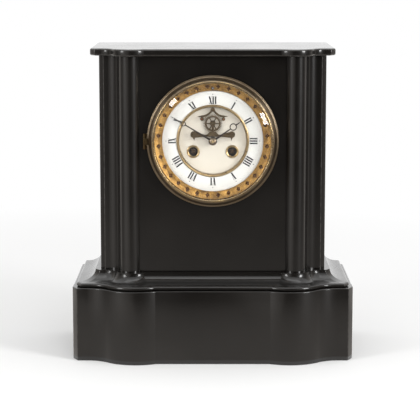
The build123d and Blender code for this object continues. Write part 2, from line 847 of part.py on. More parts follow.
def make_strike_train():
    """The wheels from the strike barrel to the fly."""
    second = train_wheel(second_mesh, second_level, great_mesh, strike_at, great_level, second_at)
    keep_on_dial("strike_second_wheel", second)
    pin_wheel = train_wheel(
        pin_mesh, pin_wheel_level, second_mesh, second_at, second_level, pin_wheel_at, pin_rim
    )
    pin_front = pin_wheel_level + pin_reach
    pins = []
    for i in range(pin_count):
        at = polar(pin_circle, 360 / pin_count * i, pin_wheel_at)
        pins.append(rod(pin_thickness / 2, pin_wheel_level - pin_thickness, pin_front, at))
    keep_on_dial("strike_pin_wheel", pin_wheel + pins)
    locking = train_wheel(locking_mesh, locking_level, pin_mesh, pin_wheel_at, pin_wheel_level, locking_at)
    keep_on_dial("strike_locking_wheel", locking)
    warning = train_wheel(warning_mesh, warning_level, locking_mesh, locking_at, locking_level, warning_at)
    keep_on_dial("strike_warning_wheel", warning)
    leaves = pinion(warning_mesh, driven(warning_mesh, warning_at, fly_at), warning_level)
    half_span = fly_span / 2
    half_vane = fly_thickness / 2
    vane = block(-half_span, half_span, -half_vane, half_vane, back_plate_face + 2, fly_level)
    keep_on_dial("strike_fly", Pos(*fly_at) * (leaves + [vane, *arbor(warning_mesh)]))


def make_plates():
    """The two movement plates: round, bored for every arbor, with studs in front and pillars behind."""
    small = [
        (intermediate_at, pivot(great_mesh)), (third_at, pivot(center_mesh)),
        (second_at, pivot(great_mesh)), (pin_wheel_at, pivot(second_mesh)),
        (locking_at, pivot(pin_mesh)), (warning_at, pivot(locking_mesh)),
        (fly_at, pivot(warning_mesh)), (hammer_at, staff_radius), (anchor_at, staff_radius),
    ]
    front_holes = small + [(center_at, center_arbor), (escape_at, 2.4)]
    front_holes += [(at, journal_radius) for at in (going_at, strike_at)]
    back_holes = small + [(center_at, center_pivot), (escape_at, pivot(third_mesh))]
    back_holes += [(at, arbor_pivot) for at in (going_at, strike_at)]
    pillar_places = [polar(pillar_circle, a) for a in pillar_angles]

    front = Circle(plate_radius)
    for at, radius in front_holes:
        front -= Pos(*at) * Circle(radius + fit)
    for at in pillar_places:
        front -= Pos(*at) * Circle(tenon_radius)
    eye = polar(click_circle, click_turn)
    click_studs = [(side * (winding_at[0] + eye[0]), winding_at[1] + eye[1]) for side in (-1, 1)]
    studs = [rod(stud_radius, front_plate_face, ratchet_level + 0.4, at) for at in click_studs]
    studs.append(rod(stud_radius, front_plate_face, hour_wheel_level + 1, minute_wheel_at))
    keep_on_dial("front_plate", plate(front, front_plate_face, front_plate_back) + studs)

    back = Circle(plate_radius)
    for at, radius in back_holes:
        back -= Pos(*at) * Circle(radius + fit)
    pillars = [rod(pillar_radius, front_plate_back, back_plate_face, at) for at in pillar_places]
    tenons = [rod(tenon_radius, front_plate_back, front_plate_face + 0.8, at) for at in pillar_places]
    keep_on_dial("back_plate", plate(back, back_plate_face, back_plate_back) + pillars + tenons)


def make_escapement():
    """The escape cock, the pallet anchor with its arbor and crutch, and the two pallet stones."""
    back = cock_level - cock_thickness
    cock = Pos(*escape_at) * Circle(2.2)
    cock += Pos(0, (block_foot[1] + escape_at[1]) / 2) * Rectangle(cock_bar, escape_at[1] - block_foot[1])
    corners = [(-block_foot[0], block_foot[1]), block_foot, block_head, (-block_head[0], block_head[1])]
    cock += Polygon(*corners, align=None)
    posts = []
    for side in (-1, 1):
        x = side * cock_foot[0]
        y = cock_foot[1]
        root_x = side * block_head[0]
        foot_x = side * block_foot[0]
        foot_y = block_foot[1]
        low_edge = [(root_x, foot_y), (foot_x, foot_y), (x, y - cock_leaf)]
        high_edge = [(x, y + cock_leaf), (foot_x, foot_y + wing_root), (root_x, foot_y + wing_root)]
        cock += Polygon(*[*low_edge, *high_edge][::side], align=None)
        cock += Pos(x, y) * Circle(cock_leaf)
        cock += Polygon((x - side * 0.6, y - cock_spur), (x + 1.3, y - 2.6), (x - 1.3, y - 2.6), align=None)
        posts.append(rod(cock_post, back, front_plate_face, (x, y)))
    pivot_hole = rod(pivot(third_mesh) + fit, 0, -10, escape_at)
    keep_on_dial("escape_cock", plate(cock, cock_level, back) - pivot_hole + posts)

    anchor = Pos(*anchor_at) * Circle(anchor_eye)
    crest = Vector(anchor_at[0], anchor_at[1] + anchor_crest)
    stones = []
    for side in (-1, 1):
        end = (side * stone_at[0], stone_at[1])
        knee = Vector(end[0], end[1] + stone_drop)
        hollow = (knee - crest).rotate(Axis.Z, -90 * side).normalized() * arm_sag
        anchor += SlotArc(ThreePointArc(crest, (crest + knee) / 2 + hollow, knee), anchor_arm)
        low, high = knee.Y - anchor_arm / 2, knee.Y + anchor_arm / 2
        tail = [(end[0], low), (end[0] + side * anchor_tail, knee.Y), (end[0], high)]
        anchor += Polygon(*tail[::side], align=None)
        anchor += Pos(end[0], end[1] + stone_drop / 2) * Rectangle(anchor_arm, stone_drop)
        anchor += Pos(*end) * Circle(stone_eye)
        outer_side = Pos(side * stone_radius, 0) * Rectangle(2 * stone_radius, 4)
        half_round = Pos(*end) * (Circle(stone_radius) & outer_side)
        stones.append(plate(half_round, cock_level + 0.15, stone_end))
    keep_on_dial("pallet_stones", Part() + stones)

    crutch_front = back_plate_back - 2.4
    crutch_back = crutch_front - crutch_thickness
    staff = rod(staff_radius, cock_level, crutch_back, anchor_at)
    arm = Pos(0, (anchor_at[1] + crutch_foot) / 2) * Rectangle(2.0, anchor_at[1] - crutch_foot)
    eye = Pos(*anchor_at) * Circle(2.2)
    near = rod_radius + 0.3
    far = near + crutch_thickness
    cross = Pos(0, crutch_foot) * Rectangle(2 * far, 2 * crutch_thickness)
    crutch = plate(arm + eye + cross, crutch_front, crutch_back)
    low = crutch_foot - crutch_thickness
    high = crutch_foot + crutch_thickness
    end = pendulum_level - 1.4
    fingers = [block(x0, x1, low, high, end, crutch_back) for x0, x1 in ((-far, -near), (near, far))]
    keep_on_dial("pallet_anchor", plate(anchor, cock_level, back) - stones + [staff, crutch, *fingers])


def make_pendulum():
    """The suspension cock, suspension spring, pendulum rod and bob, and the regulator arbor above them."""
    spring_front = pendulum_level + 1.6
    spring_back = pendulum_level - 1.6
    slot_y = anchor_at[1] + 0.1
    top_y = anchor_at[1] + cock_rise
    arm_y = regulator_at[1] + 3.4
    arm_back = back_plate_back - cock_arm
    profile = Polyline(
        (back_plate_back, slot_y + 5), (back_plate_back, arm_y), (arm_back, arm_y), (arm_back, top_y),
        (spring_back - 0.6, top_y), (spring_back - 0.6, slot_y), (spring_front + 0.6, slot_y),
        (spring_front + 0.6, slot_y + 5), close=True,
    )
    side_on = Plane((cock_width / 2, 0, 0), x_dir=(0, 0, 1), z_dir=(-1, 0, 0)).location
    cock = side_on * extrude(make_face(profile), cock_width, dir=(0, 0, 1))
    bore = rod(regulator_radius + fit, 0, 2 * back_plate_back, regulator_at)
    keep_on_dial("suspension_cock", cock - bore)

    spring_foot = anchor_at[1] - spring_length
    spring = block(-0.2, 0.2, spring_foot, anchor_at[1], spring_back, spring_front)
    keep_on_dial("suspension_spring", spring)

    bob_y = anchor_at[1] - pendulum_length
    nut_top = bob_y - bob_radius
    hang = upright(0, pendulum_level)
    hook_foot = spring_foot - hook_length
    hook = hang * Pos(0, 0, hook_foot) * extrude(Rectangle(hook_width, hook_depth), hook_length)
    thread_foot = nut_top - thread_length
    stem = hang * Pos(0, 0, thread_foot) * extrude(Circle(rod_radius), hook_foot - thread_foot)
    nut = hang * Pos(0, 0, nut_top - 3) * extrude(Circle(3.2), 3)
    keep_on_dial("pendulum_rod", hook + stem + nut)

    bore = hang * Pos(0, 0, nut_top - 1) * extrude(Circle(rod_radius + fit), 2 * bob_radius + 2)
    half = bob_thickness / 2
    lens = [
        ThreePointArc((0, half), (bob_radius * 0.6, half * 0.82), (bob_radius, 1.0)),
        ThreePointArc((0, -half), (bob_radius * 0.6, -half * 0.82), (bob_radius, -1.0)),
        Line((bob_radius, 1.0), (bob_radius, -1.0)),
        Line((0, half), (0, -half)),
    ]
    bob = Pos(0, bob_y, pendulum_level) * revolve(Plane.XZ * make_face(lens), Axis.Z)
    keep_on_dial("pendulum_bob", bob - bore)

    wheel_front = arm_back - end_shake
    shaft = rod(regulator_radius, chapter_edge + dial_level, wheel_front, regulator_at)
    square = plate(Pos(*regulator_at) * Rectangle(1.3, 1.3), sight_floor + 0.6, chapter_edge + dial_level)
    disc = rod(3.0, wheel_front, wheel_front - 1.4, regulator_at)
    keep_on_dial("regulator_arbor", shaft + square + disc)


def make_bell():
    """The bell on its stand and the hammer that strikes it."""
    crown_inner = bell_crown_level + bell_wall
    crown = bell_crown
    drop = bell_rim_level - bell_crown_level
    sweep = (drop**2 + (bell_radius - crown) ** 2) / (2 * drop)
    level = bell_crown_level + sweep
    half_turn = atan2(bell_radius - crown, sweep - drop) / 2
    outer_bow = (crown + sweep * sin(half_turn), level - sweep * cos(half_turn))
    inner_sweep = sweep - bell_wall
    inner_bow = (crown + inner_sweep * sin(half_turn), level - inner_sweep * cos(half_turn))
    mouth = crown + sqrt(inner_sweep**2 - (sweep - drop) ** 2)
    bore = bell_screw + fit
    section = [
        ThreePointArc((bell_radius, bell_rim_level), outer_bow, (crown, bell_crown_level)),
        Polyline(
            (crown, bell_crown_level), (bore, bell_crown_level), (bore, crown_inner), (crown, crown_inner)
        ),
        ThreePointArc((crown, crown_inner), inner_bow, (mouth, bell_rim_level)),
        Line((mouth, bell_rim_level), (bell_radius, bell_rim_level)),
    ]
    keep_on_dial("bell", revolve(Plane.XZ * make_face(section), Axis.Z))

    arm_back = bell_crown_level - 2.5
    post = rod(2.0, back_plate_back, bell_crown_level, bell_post_at)
    length = hypot(*bell_post_at)
    slant = degrees(atan2(bell_post_at[1], bell_post_at[0]))
    arm = Rot(0, 0, slant) * Pos(length / 2, 0) * SlotCenterToCenter(length, bell_arm_width)
    screw_end = crown_inner + 2
    screw = [rod(bell_screw, arm_back, screw_end), rod(3.2, crown_inner, screw_end)]
    keep_on_dial("bell_stand", plate(arm, bell_crown_level, arm_back) + [post, *screw])

    arm_front = back_plate_back - 3.5
    arm_rear = arm_front - 1.5
    head_level = bell_rim_level - 3.5
    run = (hammer_head_at[0] - hammer_at[0], hammer_head_at[1] - hammer_at[1])
    middle = ((hammer_head_at[0] + hammer_at[0]) / 2, (hammer_head_at[1] + hammer_at[1]) / 2)
    lever = Pos(*middle) * Rot(0, 0, degrees(atan2(run[1], run[0]))) * SlotCenterToCenter(hypot(*run), 3.2)
    toward = Vector(-hammer_head_at[0], -hammer_head_at[1], 0).normalized()
    head_back = Vector(*hammer_head_at, head_level) - toward * 4
    head = Plane(head_back, z_dir=toward).location * extrude(Circle(3.0), 6.4)
    inward = atan2(pin_wheel_at[1] - hammer_at[1], pin_wheel_at[0] - hammer_at[0])
    tail_middle = polar(hammer_tail / 2, degrees(inward), hammer_at)
    tail = Pos(*tail_middle) * Rot(0, 0, degrees(inward)) * SlotCenterToCenter(hammer_tail, 1.6)
    keep_on_dial(
        "hammer",
        rod(staff_radius, front_plate_face, arm_rear, hammer_at)
        + [
            plate(lever, arm_front, arm_rear), rod(1.2, arm_front, head_level, hammer_head_at), head,
            plate(tail, pin_wheel_level + 2.4, pin_wheel_level + 1.0),
        ],
    )


def make_back():
    """The rear ring and door, and the straps and screws that draw the dial and the ring together."""
    shelf_front = rear_level + 1.3
    shelf_back = rear_level - 0.5
    ring_back = rear_level - back_ring_height
    spigot = back_hole - slip
    spigot_end = rear_level + back_spigot_depth
    ring = turned(
        (back_ring_radius, rear_level), (back_ring_radius, ring_back), (shelf_outer, ring_back),
        (shelf_outer, shelf_back), (back_ring_inner, shelf_back), (back_ring_inner, shelf_front),
        (spigot - spigot_wall, shelf_front), (spigot - spigot_wall, spigot_end),
        (spigot, spigot_end), (spigot, rear_level),
    )
    hinge_x = -(back_ring_radius + knuckle_radius + hinge_stand_off)
    hinge_z = ring_back - slip
    screw_at = [(side * screw_from_axis, 0) for side in (-1, 1)]
    ring += fixed_leaf(hinge_x, hinge_z, -back_ring_radius + lug_lap, ring_back, rear_level - slip)
    for at in screw_at:
        ring -= rod(strap_screw + slip, shelf_front + 1, shelf_back - 1, at)
    keep_on_dial("back_ring", ring)

    door_front = ring_back - bezel_gap
    door_back = door_front - back_door_thickness
    bore = hinge_bar(hinge_x, hinge_z, pin_radius + fit)
    leaf = moving_leaf(hinge_x, hinge_z, -back_door_radius + lug_lap, door_back, door_front)
    keep_on_dial("back_door", rod(back_door_radius, door_front, door_back) + leaf - bore)

    strap_outer = spigot - spigot_wall - slip
    strap_inner = strap_outer - strap_thickness
    front = dial_level - dial_plate_thickness
    foot_back = shelf_front + strap_thickness
    straps = []
    for side in (-1, 1):
        profile = [
            (strap_foot, front), (strap_outer, front), (strap_outer, shelf_front),
            (strap_foot, shelf_front), (strap_foot, foot_back), (strap_inner, foot_back),
            (strap_inner, front - strap_thickness), (strap_foot, front - strap_thickness),
        ]
        outline = make_face(Polyline(*[(side * x, z) for x, z in profile], close=True))
        strap = extrude(Plane.XZ * outline, strap_width / 2, both=True)
        hole = rod(strap_screw + fit, shelf_front - 1, foot_back + 1, (side * screw_from_axis, 0))
        straps.append(strap - hole)
    keep_on_dial("case_straps", Part() + straps)
    screws = [
        rod(strap_screw, shelf_back, foot_back, at) + rod(2 * strap_screw, shelf_back, shelf_back - 1.2, at)
        for at in screw_at
    ]
    keep_on_dial("strap_screws", Part() + screws)


make_case()
make_bezel()
make_dial()
make_hands()
make_winding()
make_going_train()
make_motion_work()
make_strike_train()
make_plates()
make_escapement()
make_pendulum()
make_bell()
make_back()

os.makedirs("parts", exist_ok=True)
for node, shape in pieces.items():
    export_step(shape, os.path.join("parts", f"{node}.step"))
print(f"{len(pieces)} nodes written")
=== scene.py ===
"""Looks of the black slate mantel clock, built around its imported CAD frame.

The frame is in metres, +Z up, with the dial toward -Y. The settings hold their lengths in metres, the shapes
are drawn in millimetres, and MM turns one into the other. The dial's pieces are drawn in the dial frame:
x right, y up, z toward the viewer from the front panel.
"""

import json
from math import atan2, cos, hypot, pi, radians, sin, sqrt, tau
from types import SimpleNamespace

import bmesh
import bpy
from bpy.props import FloatProperty, FloatVectorProperty, IntProperty, PointerProperty
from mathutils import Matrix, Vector


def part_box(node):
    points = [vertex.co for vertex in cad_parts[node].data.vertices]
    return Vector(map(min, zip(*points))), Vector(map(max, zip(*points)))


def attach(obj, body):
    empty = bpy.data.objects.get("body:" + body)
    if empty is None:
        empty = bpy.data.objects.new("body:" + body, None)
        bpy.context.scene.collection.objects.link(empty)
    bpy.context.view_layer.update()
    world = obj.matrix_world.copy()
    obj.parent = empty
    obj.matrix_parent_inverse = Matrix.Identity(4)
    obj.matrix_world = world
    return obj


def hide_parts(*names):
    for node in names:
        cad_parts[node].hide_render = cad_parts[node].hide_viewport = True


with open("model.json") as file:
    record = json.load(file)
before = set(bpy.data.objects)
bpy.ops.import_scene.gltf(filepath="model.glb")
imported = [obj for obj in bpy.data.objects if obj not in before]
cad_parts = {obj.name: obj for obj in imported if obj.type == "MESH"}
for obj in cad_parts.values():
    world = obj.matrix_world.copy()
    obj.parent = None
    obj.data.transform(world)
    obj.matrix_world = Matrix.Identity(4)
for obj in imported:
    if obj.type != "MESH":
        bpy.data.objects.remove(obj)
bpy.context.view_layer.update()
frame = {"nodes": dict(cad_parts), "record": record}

bl_info = {
    "name": "Slate mantel clock",
    "version": (1, 0, 0),
    "blender": (4, 5, 0),
    "location": "View3D > Sidebar > Clock",
    "description": "Dresses the packed mantel clock and sets its stage",
    "category": "Object",
}

MM = 0.001
SHARP_ANGLE = radians(35)


def corners(node):
    """A CAD node's lowest and highest corners, in millimetres."""
    low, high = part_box(node)
    return low / MM, high / MM


panel_low, panel_high = corners("front_panel")
side_low, side_high = corners("right_side_panel")
chapter_low, chapter_high = corners("chapter_ring")
rim_low, rim_high = corners("bezel_rim")
glass_low, glass_high = corners("bezel_glass")
slab_high = corners("top_slab")[1]
plinth_high = corners("plinth_front")[1]

PANEL_Y = panel_low.y
PANEL_HALF = panel_high.x
LEDGE_TOP = panel_low.z
LEDGE_FOOT = corners("ledge_moulding")[0].z
BODY_TOP = panel_high.z
BODY_HALF = side_high.x
INNER_HALF = side_low.x
CORNER_BACK = side_low.y
BACK_Y = side_high.y
INSET = plinth_high.x - BODY_HALF
DIAL_Z = (chapter_low.z + chapter_high.z) / 2
CHAPTER_OUTER = chapter_high.x
CHAPTER_CROWN = PANEL_Y - chapter_low.y
GLASS_FRONT = PANEL_Y - glass_low.y
GLASS_BACK = PANEL_Y - glass_high.y


def length(name, description, default):
    """A setting that is a length; its default is given in millimetres."""
    return FloatProperty(name=name, description=description, unit="LENGTH", default=default * MM)


def two_lengths(name, description, body, plinth):
    """A setting with a length for the body and one for the plinth, given in millimetres."""
    pair = (body * MM, plinth * MM)
    return FloatVectorProperty(name=name, description=description, unit="LENGTH", size=2, default=pair)


def linear_colour(name, description, default):
    """A setting that is a colour, as linear light."""
    return FloatVectorProperty(name=name, description=description, subtype="COLOR", default=default)


class SlateSizes(bpy.types.PropertyGroup):
    """The stone case: its serpentine plan and its worn edges. Pairs are for the body and the plinth."""

    roll_rise: length("Roll rise", "Of the rolls before the front panel", 5.5)
    wing_setback: length("Wing setback", "Of the wings behind the panel", 15.4)
    roll_radius: two_lengths("Roll radius", "Radius of the rolls, on body and plinth", 11.0, 42.0)
    roll_from_side: two_lengths("Roll from side", "From the side, on body and plinth", 31.9, 66.0)
    cove_from_side: two_lengths("Cove from side", "From the side, on body and plinth", 8.9, 15.0)
    corner_width: two_lengths("Corner width", "Of the cut corner, on body and plinth", 4.6, 5.0)
    corner_depth: two_lengths("Corner depth", "Of the cut corner, on body and plinth", 4.6, 10.0)
    arris: length("Arris", "Rounding of the worn upright edges", 0.7)
    seam: length("Seam", "Easing of the slabs at their seams", 0.35)
    slab_rounding: length("Slab rounding", "Of the top slab's edges", 2.0)
    plinth_arris: length("Plinth arris", "Rounding of the plinth's top edge", 0.8)
    ledge_flat: length("Ledge flat", "Flat of the ledge outside the body", 5.4)
    cavetto_width: length("Cavetto width", "Of the hollow moulding", 15.3)
    bead_height: length("Bead height", "Of the bead under the hollow", 4.3)
    bead_neck: length("Bead neck", "From the body to the bead's start", 22.6)
    bead_turn: FloatProperty(
        name="Bead turn", description="Half the angle that the bead turns through", subtype="ANGLE",
        default=radians(70))
    ledge_rim: length("Ledge rim", "Stone round the pendulum well", 22.0)


class DialSizes(bpy.types.PropertyGroup):
    """The bezel's glass, the fired figures and the gilt ornament of the dial."""

    bevel_depth: length("Bevel depth", "Of the glass's ground edge", 0.8)
    bevel_width: length("Bevel width", "Of the glass's ground edge", 5.5)
    figure_foot: length("Figure foot", "Radius at the figures' foot", 37.8)
    figure_head: length("Figure head", "Radius at the figures' head", 45.7)
    thick_stroke: length("Thick stroke", "Width of a thick stroke", 1.5)
    thin_stroke: length("Thin stroke", "Width of a thin stroke", 0.32)
    serif: length("Serif", "Height of the figures' serifs", 0.26)
    hour_dot: length("Hour dot", "Radius of the dots at the hours", 0.48)
    minute_dot: length("Minute dot", "Radius of the dots at the minutes", 0.17)
    dot_circle: length("Dot circle", "Radius of the ring of dots", 47.9)
    motif_count: IntProperty(name="Motifs", description="Flowers round the gilt sight ring", default=32)
    motif_depth: length("Motif depth", "Of the flowers' relief", 0.55)


class ClockColours(bpy.types.PropertyGroup):
    """The colours of the clock's materials, as linear light."""

    slate: linear_colour("Slate", "Black stone", (0.0036, 0.0029, 0.0023))
    slate_wear: linear_colour("Slate wear", "Stone at worn edges", (0.075, 0.07, 0.064))
    brass: linear_colour("Brass", "Polished brass", (0.74, 0.54, 0.27))
    dull_brass: linear_colour("Dull brass", "Bezel where it isn't rubbed, and hand nut", (0.31, 0.245, 0.17))
    gilt: linear_colour("Gilt", "Gilding of the sight ring", (0.75, 0.43, 0.115))
    patina: linear_colour("Patina", "Brown in the hollows of brass and gilding", (0.085, 0.033, 0.010))
    enamel: linear_colour("Enamel", "White of the chapter ring", (0.85, 0.845, 0.80))
    cream: linear_colour("Cream enamel", "Sunk center", (0.79, 0.735, 0.625))
    figures: linear_colour("Figures", "Fired black", (0.008, 0.008, 0.010))
    hands: linear_colour("Hands", "Dark steel", (0.030, 0.021, 0.016))
    steel: linear_colour("Steel", "Bare steel of arbors", (0.42, 0.42, 0.43))
    # Paler brown painted on the winding squares' front ends, a painted light where light falls on them
    lit_square: linear_colour("Oiled steel", "Winding squares, brown with oil", (0.125, 0.085, 0.055))
    bronze: linear_colour("Bronze", "Cock, anchor, escape wheel and bezel seat", (0.125, 0.092, 0.048))
    stone: linear_colour("Pallet stone", "Carnelian", (0.30, 0.045, 0.015))
    bell: linear_colour("Bell", "Bell metal", (0.62, 0.50, 0.33))


class StageSettings(bpy.types.PropertyGroup):
    """The floor, the lamps and the camera."""

    floor: linear_colour("Floor", "Pale floor", (0.93, 0.93, 0.925))
    fill: FloatProperty(name="Fill", description="Strength of the light from all round", default=0.70)
    side_power: FloatVectorProperty(
        name="Side lamps", description="Power of the left and the right lamp", unit="POWER", size=2,
        default=(10.5, 19.0))
    top_power: FloatProperty(
        name="Top lamp", description="Power of the lamp above", unit="POWER", default=6.0)
    front_power: FloatProperty(
        name="Front lamp", description="Power of the lamp above the camera", unit="POWER", default=6.5)
    strip_power: FloatProperty(
        name="Strip lamps", description="Power per square metre of the glints", default=75.0)
    lens: FloatProperty(
        name="Lens", description="Focal length on a 36 mm sensor", unit="CAMERA", default=138.7)
    camera_place: FloatVectorProperty(
        name="Camera", description="Place of the camera", subtype="TRANSLATION",
        default=(-0.00284, -1.69436, 0.40957))
    camera_tilt: FloatProperty(
        name="Tilt", description="Of the camera, from looking straight down", subtype="ANGLE",
        default=radians(81.23))


def in_millimetres(group):
    """The settings of a group by name, their lengths in millimetres and cleared of single-precision error."""
    values = {}
    for name in group.__annotations__:
        value = getattr(group, name)
        if group.bl_rna.properties[name].unit == "LENGTH":
            value = [round(v / MM, 4) for v in value] if hasattr(value, "__len__") else round(value / MM, 4)
        values[name] = value
    return SimpleNamespace(**values)


# Mesh helpers


def on_dial(x, y, z):
    """A point of the dial frame in the clock's frame, in millimetres."""
    return (x, PANEL_Y - z, DIAL_Z + y)


def polar(radius, angle, at=(0, 0)):
    """The point at a radius and an angle in radians round a center."""
    return (at[0] + radius * cos(angle), at[1] + radius * sin(angle))


def arc(center, radius, start, end, steps):
    """Points along an arc between two angles in radians."""
    return [polar(radius, start + (end - start) * i / steps, center) for i in range(steps + 1)]


def turned(profile, segments, place=on_dial):
    """The rings of a turned shape, from (radius, z) points with an optional share that they stand proud."""
    rings = []
    for radius, z, *raised in profile:
        ring = [polar(radius, tau * i / segments) for i in range(segments)]
        rings.append([(*place(x, y, z), *raised) for x, y in ring])
    return rings


def bend(start, corner, end, steps):
    """The points of a curve that rounds a corner, each with its share of the way."""
    shares = [k / steps for k in range(steps + 1)]
    return [(start * (1 - t) ** 2 + corner * 2 * t * (1 - t) + end * t * t, t) for t in shares]


def softened(points, radius, steps=3):
    """A closed outline with each corner rounded, as far as its sides allow."""
    side_share = 0.45
    result = []
    for i, corner in enumerate(points):
        corner = Vector(corner)
        to_last = Vector(points[i - 1]) - corner
        to_next = Vector(points[(i + 1) % len(points)]) - corner
        start = corner + to_last.normalized() * min(radius, side_share * to_last.length)
        end = corner + to_next.normalized() * min(radius, side_share * to_next.length)
        result += [tuple(point) for point, _ in bend(start, corner, end, steps)]
    return result


class Shell:
    """A mesh being put together, in millimetres of the clock's frame."""

    def __init__(self):
        self.points = []
        self.faces = []
        self.raised = []

    def loop(self, points):
        """Adds points, each with an optional share that it stands proud, and returns their numbers."""
        first = len(self.points)
        self.points += [point[:3] for point in points]
        self.raised += [point[3] if len(point) > 3 else 0.0 for point in points]
        return list(range(first, len(self.points)))

    def bridge(self, low, high, closed=True):
        """Joins two rings of points with faces."""
        count = len(low)
        for i in range(count if closed else count - 1):
            k = (i + 1) % count
            self.faces.append((low[i], low[k], high[k], high[i]))

    def stack(self, loops, caps=True):
        """A solid through a row of rings, closed at both ends unless it has no caps."""
        rings = [self.loop(points) for points in loops]
        for low, high in zip(rings, rings[1:]):
            self.bridge(low, high)
        if caps:
            self.faces += [tuple(reversed(rings[0])), tuple(rings[-1])]
        return rings

    def tube(self, loops):
        """A ring-shaped solid through a row of rings, the last joined to the first."""
        rings = self.stack(loops, caps=False)
        self.bridge(rings[-1], rings[0])

    def object(self, name, sharp=SHARP_ANGLE):
        """The finished mesh object, smooth except at edges sharper than an angle."""
        mesh = bpy.data.meshes.new(name)
        mesh.from_pydata([[v * MM for v in point] for point in self.points], [], self.faces)
        values = mesh.attributes.new("raised", "FLOAT", "POINT")
        values.data.foreach_set("value", self.raised)
        work = bmesh.new()
        work.from_mesh(mesh)
        bmesh.ops.recalc_face_normals(work, faces=work.faces)
        work.to_mesh(mesh)
        work.free()
        mesh.shade_smooth()
        mesh.set_sharp_from_angle(angle=sharp)
        return placed(name, mesh)


def placed(name, data):
    """A new object of the scene."""
    thing = bpy.data.objects.new(name, data)
    bpy.context.scene.collection.objects.link(thing)
    return thing


def dress(thing, body, material, slot, *nodes):
    """Gives a new piece its material and its body, and hides the CAD nodes that it stands for. The slot is
    not used.
    """
    thing.data.materials.clear()
    thing.data.materials.append(material)
    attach(thing, body)
    if nodes:
        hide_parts(*nodes)


def paint(material, *nodes):
    """Gives CAD nodes a material."""
    for node in nodes:
        slots = frame["nodes"][node].data.materials
        slots.clear()
        slots.append(material)


def second_material(thing, material, chosen):
    """Gives a second material to the faces whose corners, in metres, pass a test."""
    thing.data.materials.append(material)
    for face in thing.data.polygons:
        face.material_index = int(chosen([thing.data.vertices[i].co for i in face.vertices]))


def eased(node, width, name, fuller=0.0):
    """A copy of a CAD node with its sharp edges rounded, and a little fuller; both in millimetres."""
    weld = 0.002
    flat_angle = 0.5
    edge_angle = 40
    mesh = frame["nodes"][node].data.copy()
    mesh.name = name
    work = bmesh.new()
    work.from_mesh(mesh)
    bmesh.ops.remove_doubles(work, verts=work.verts, dist=weld * MM)
    bmesh.ops.dissolve_limit(work, angle_limit=radians(flat_angle), verts=work.verts, edges=work.edges)
    work.to_mesh(mesh)
    work.free()
    if "custom_normal" in mesh.attributes:
        mesh.attributes.remove(mesh.attributes["custom_normal"])
    mesh.shade_smooth()
    thing = placed(name, mesh)
    bevel = thing.modifiers.new("Eased edges", "BEVEL")
    bevel.width = width * MM
    bevel.segments = 2
    bevel.limit_method = "ANGLE"
    bevel.angle_limit = radians(edge_angle)
    if fuller:
        swell = thing.modifiers.new("Fuller", "DISPLACE")
        swell.mid_level = 0
        swell.strength = fuller * MM
    thing.modifiers.new("Flat faces", "WEIGHTED_NORMAL")
    view = bpy.context.evaluated_depsgraph_get()
    thing.data = bpy.data.meshes.new_from_object(thing.evaluated_get(view))
    thing.modifiers.clear()
    thing.data.name = name
    return thing


# Materials


class Nodes:
    """A node tree being filled in."""

    def __init__(self, tree):
        self.tree = tree

    def add(self, kind, inputs=None, **settings):
        """Adds a node; an input that is an output of another node is linked."""
        node = self.tree.nodes.new(kind)
        for key, value in settings.items():
            setattr(node, key, value)
        for key, value in (inputs or {}).items():
            if isinstance(value, bpy.types.NodeSocket):
                self.link(value, node.inputs[key])
            else:
                node.inputs[key].default_value = value
        return node

    def link(self, output, socket):
        """Links an output to a socket."""
        self.tree.links.new(output, socket)

    def math(self, operation, a, b):
        """A sum, product or other operation on two values."""
        return self.add("ShaderNodeMath", {0: a, 1: b}, operation=operation).outputs[0]

    def plus(self, a, b):
        """The sum of two values."""
        return self.math("ADD", a, b)

    def times(self, a, b):
        """The product of two values."""
        return self.math("MULTIPLY", a, b)

    def place(self):
        """The point on the piece, in its own coordinates."""
        return self.add("ShaderNodeTexCoord").outputs["Object"]

    def distance(self, point):
        """How far a point lies from the origin."""
        return self.add("ShaderNodeVectorMath", {0: point}, operation="LENGTH").outputs["Value"]

    def scaled(self, value, low, high, to_low, to_high):
        """A value moved from one range to another and kept in it."""
        places = {"Value": value, "From Min": low, "From Max": high, "To Min": to_low, "To Max": to_high}
        return self.add("ShaderNodeMapRange", places).outputs[0]

    def noise(self, scale, detail, vector=None):
        """Noise between 0 and 1 on the piece's own coordinates."""
        places = {"Vector": vector or self.place(), "Scale": scale, "Detail": detail}
        return self.add("ShaderNodeTexNoise", places).outputs[0]

    def colour(self, share, first, second):
        """A mix of two colours."""
        node = self.add("ShaderNodeMix", data_type="RGBA")
        for socket, value in ((node.inputs[0], share), (node.inputs[6], first), (node.inputs[7], second)):
            if isinstance(value, bpy.types.NodeSocket):
                self.link(value, socket)
            elif socket.type == "RGBA":
                socket.default_value = (*value, 1)
            else:
                socket.default_value = value
        return node.outputs[2]

    def bump(self, height, distance):
        """A normal from a height; the distance is in millimetres."""
        places = {"Height": height, "Distance": distance * MM, "Strength": 1.0}
        return self.add("ShaderNodeBump", places).outputs[0]

    def group(self, name, **inputs):
        """Places a shared effect with its own values."""
        node = self.add("ShaderNodeGroup", node_tree=bpy.data.node_groups[name])
        for key, value in inputs.items():
            node.inputs[key.replace("_", " ").title()].default_value = value
        return node.outputs


def new_group(name, inputs, outputs):
    """An empty shared effect with its sockets: the tree, the inputs and the outputs node."""
    tree = bpy.data.node_groups.new(name, "ShaderNodeTree")
    for label, value in inputs.items():
        socket = tree.interface.new_socket(name=label, in_out="INPUT", socket_type="NodeSocketFloat")
        socket.default_value = value
    for label in outputs:
        tree.interface.new_socket(name=label, in_out="OUTPUT", socket_type="NodeSocketFloat")
    nodes = Nodes(tree)
    return nodes, nodes.add("NodeGroupInput").outputs, nodes.add("NodeGroupOutput").inputs


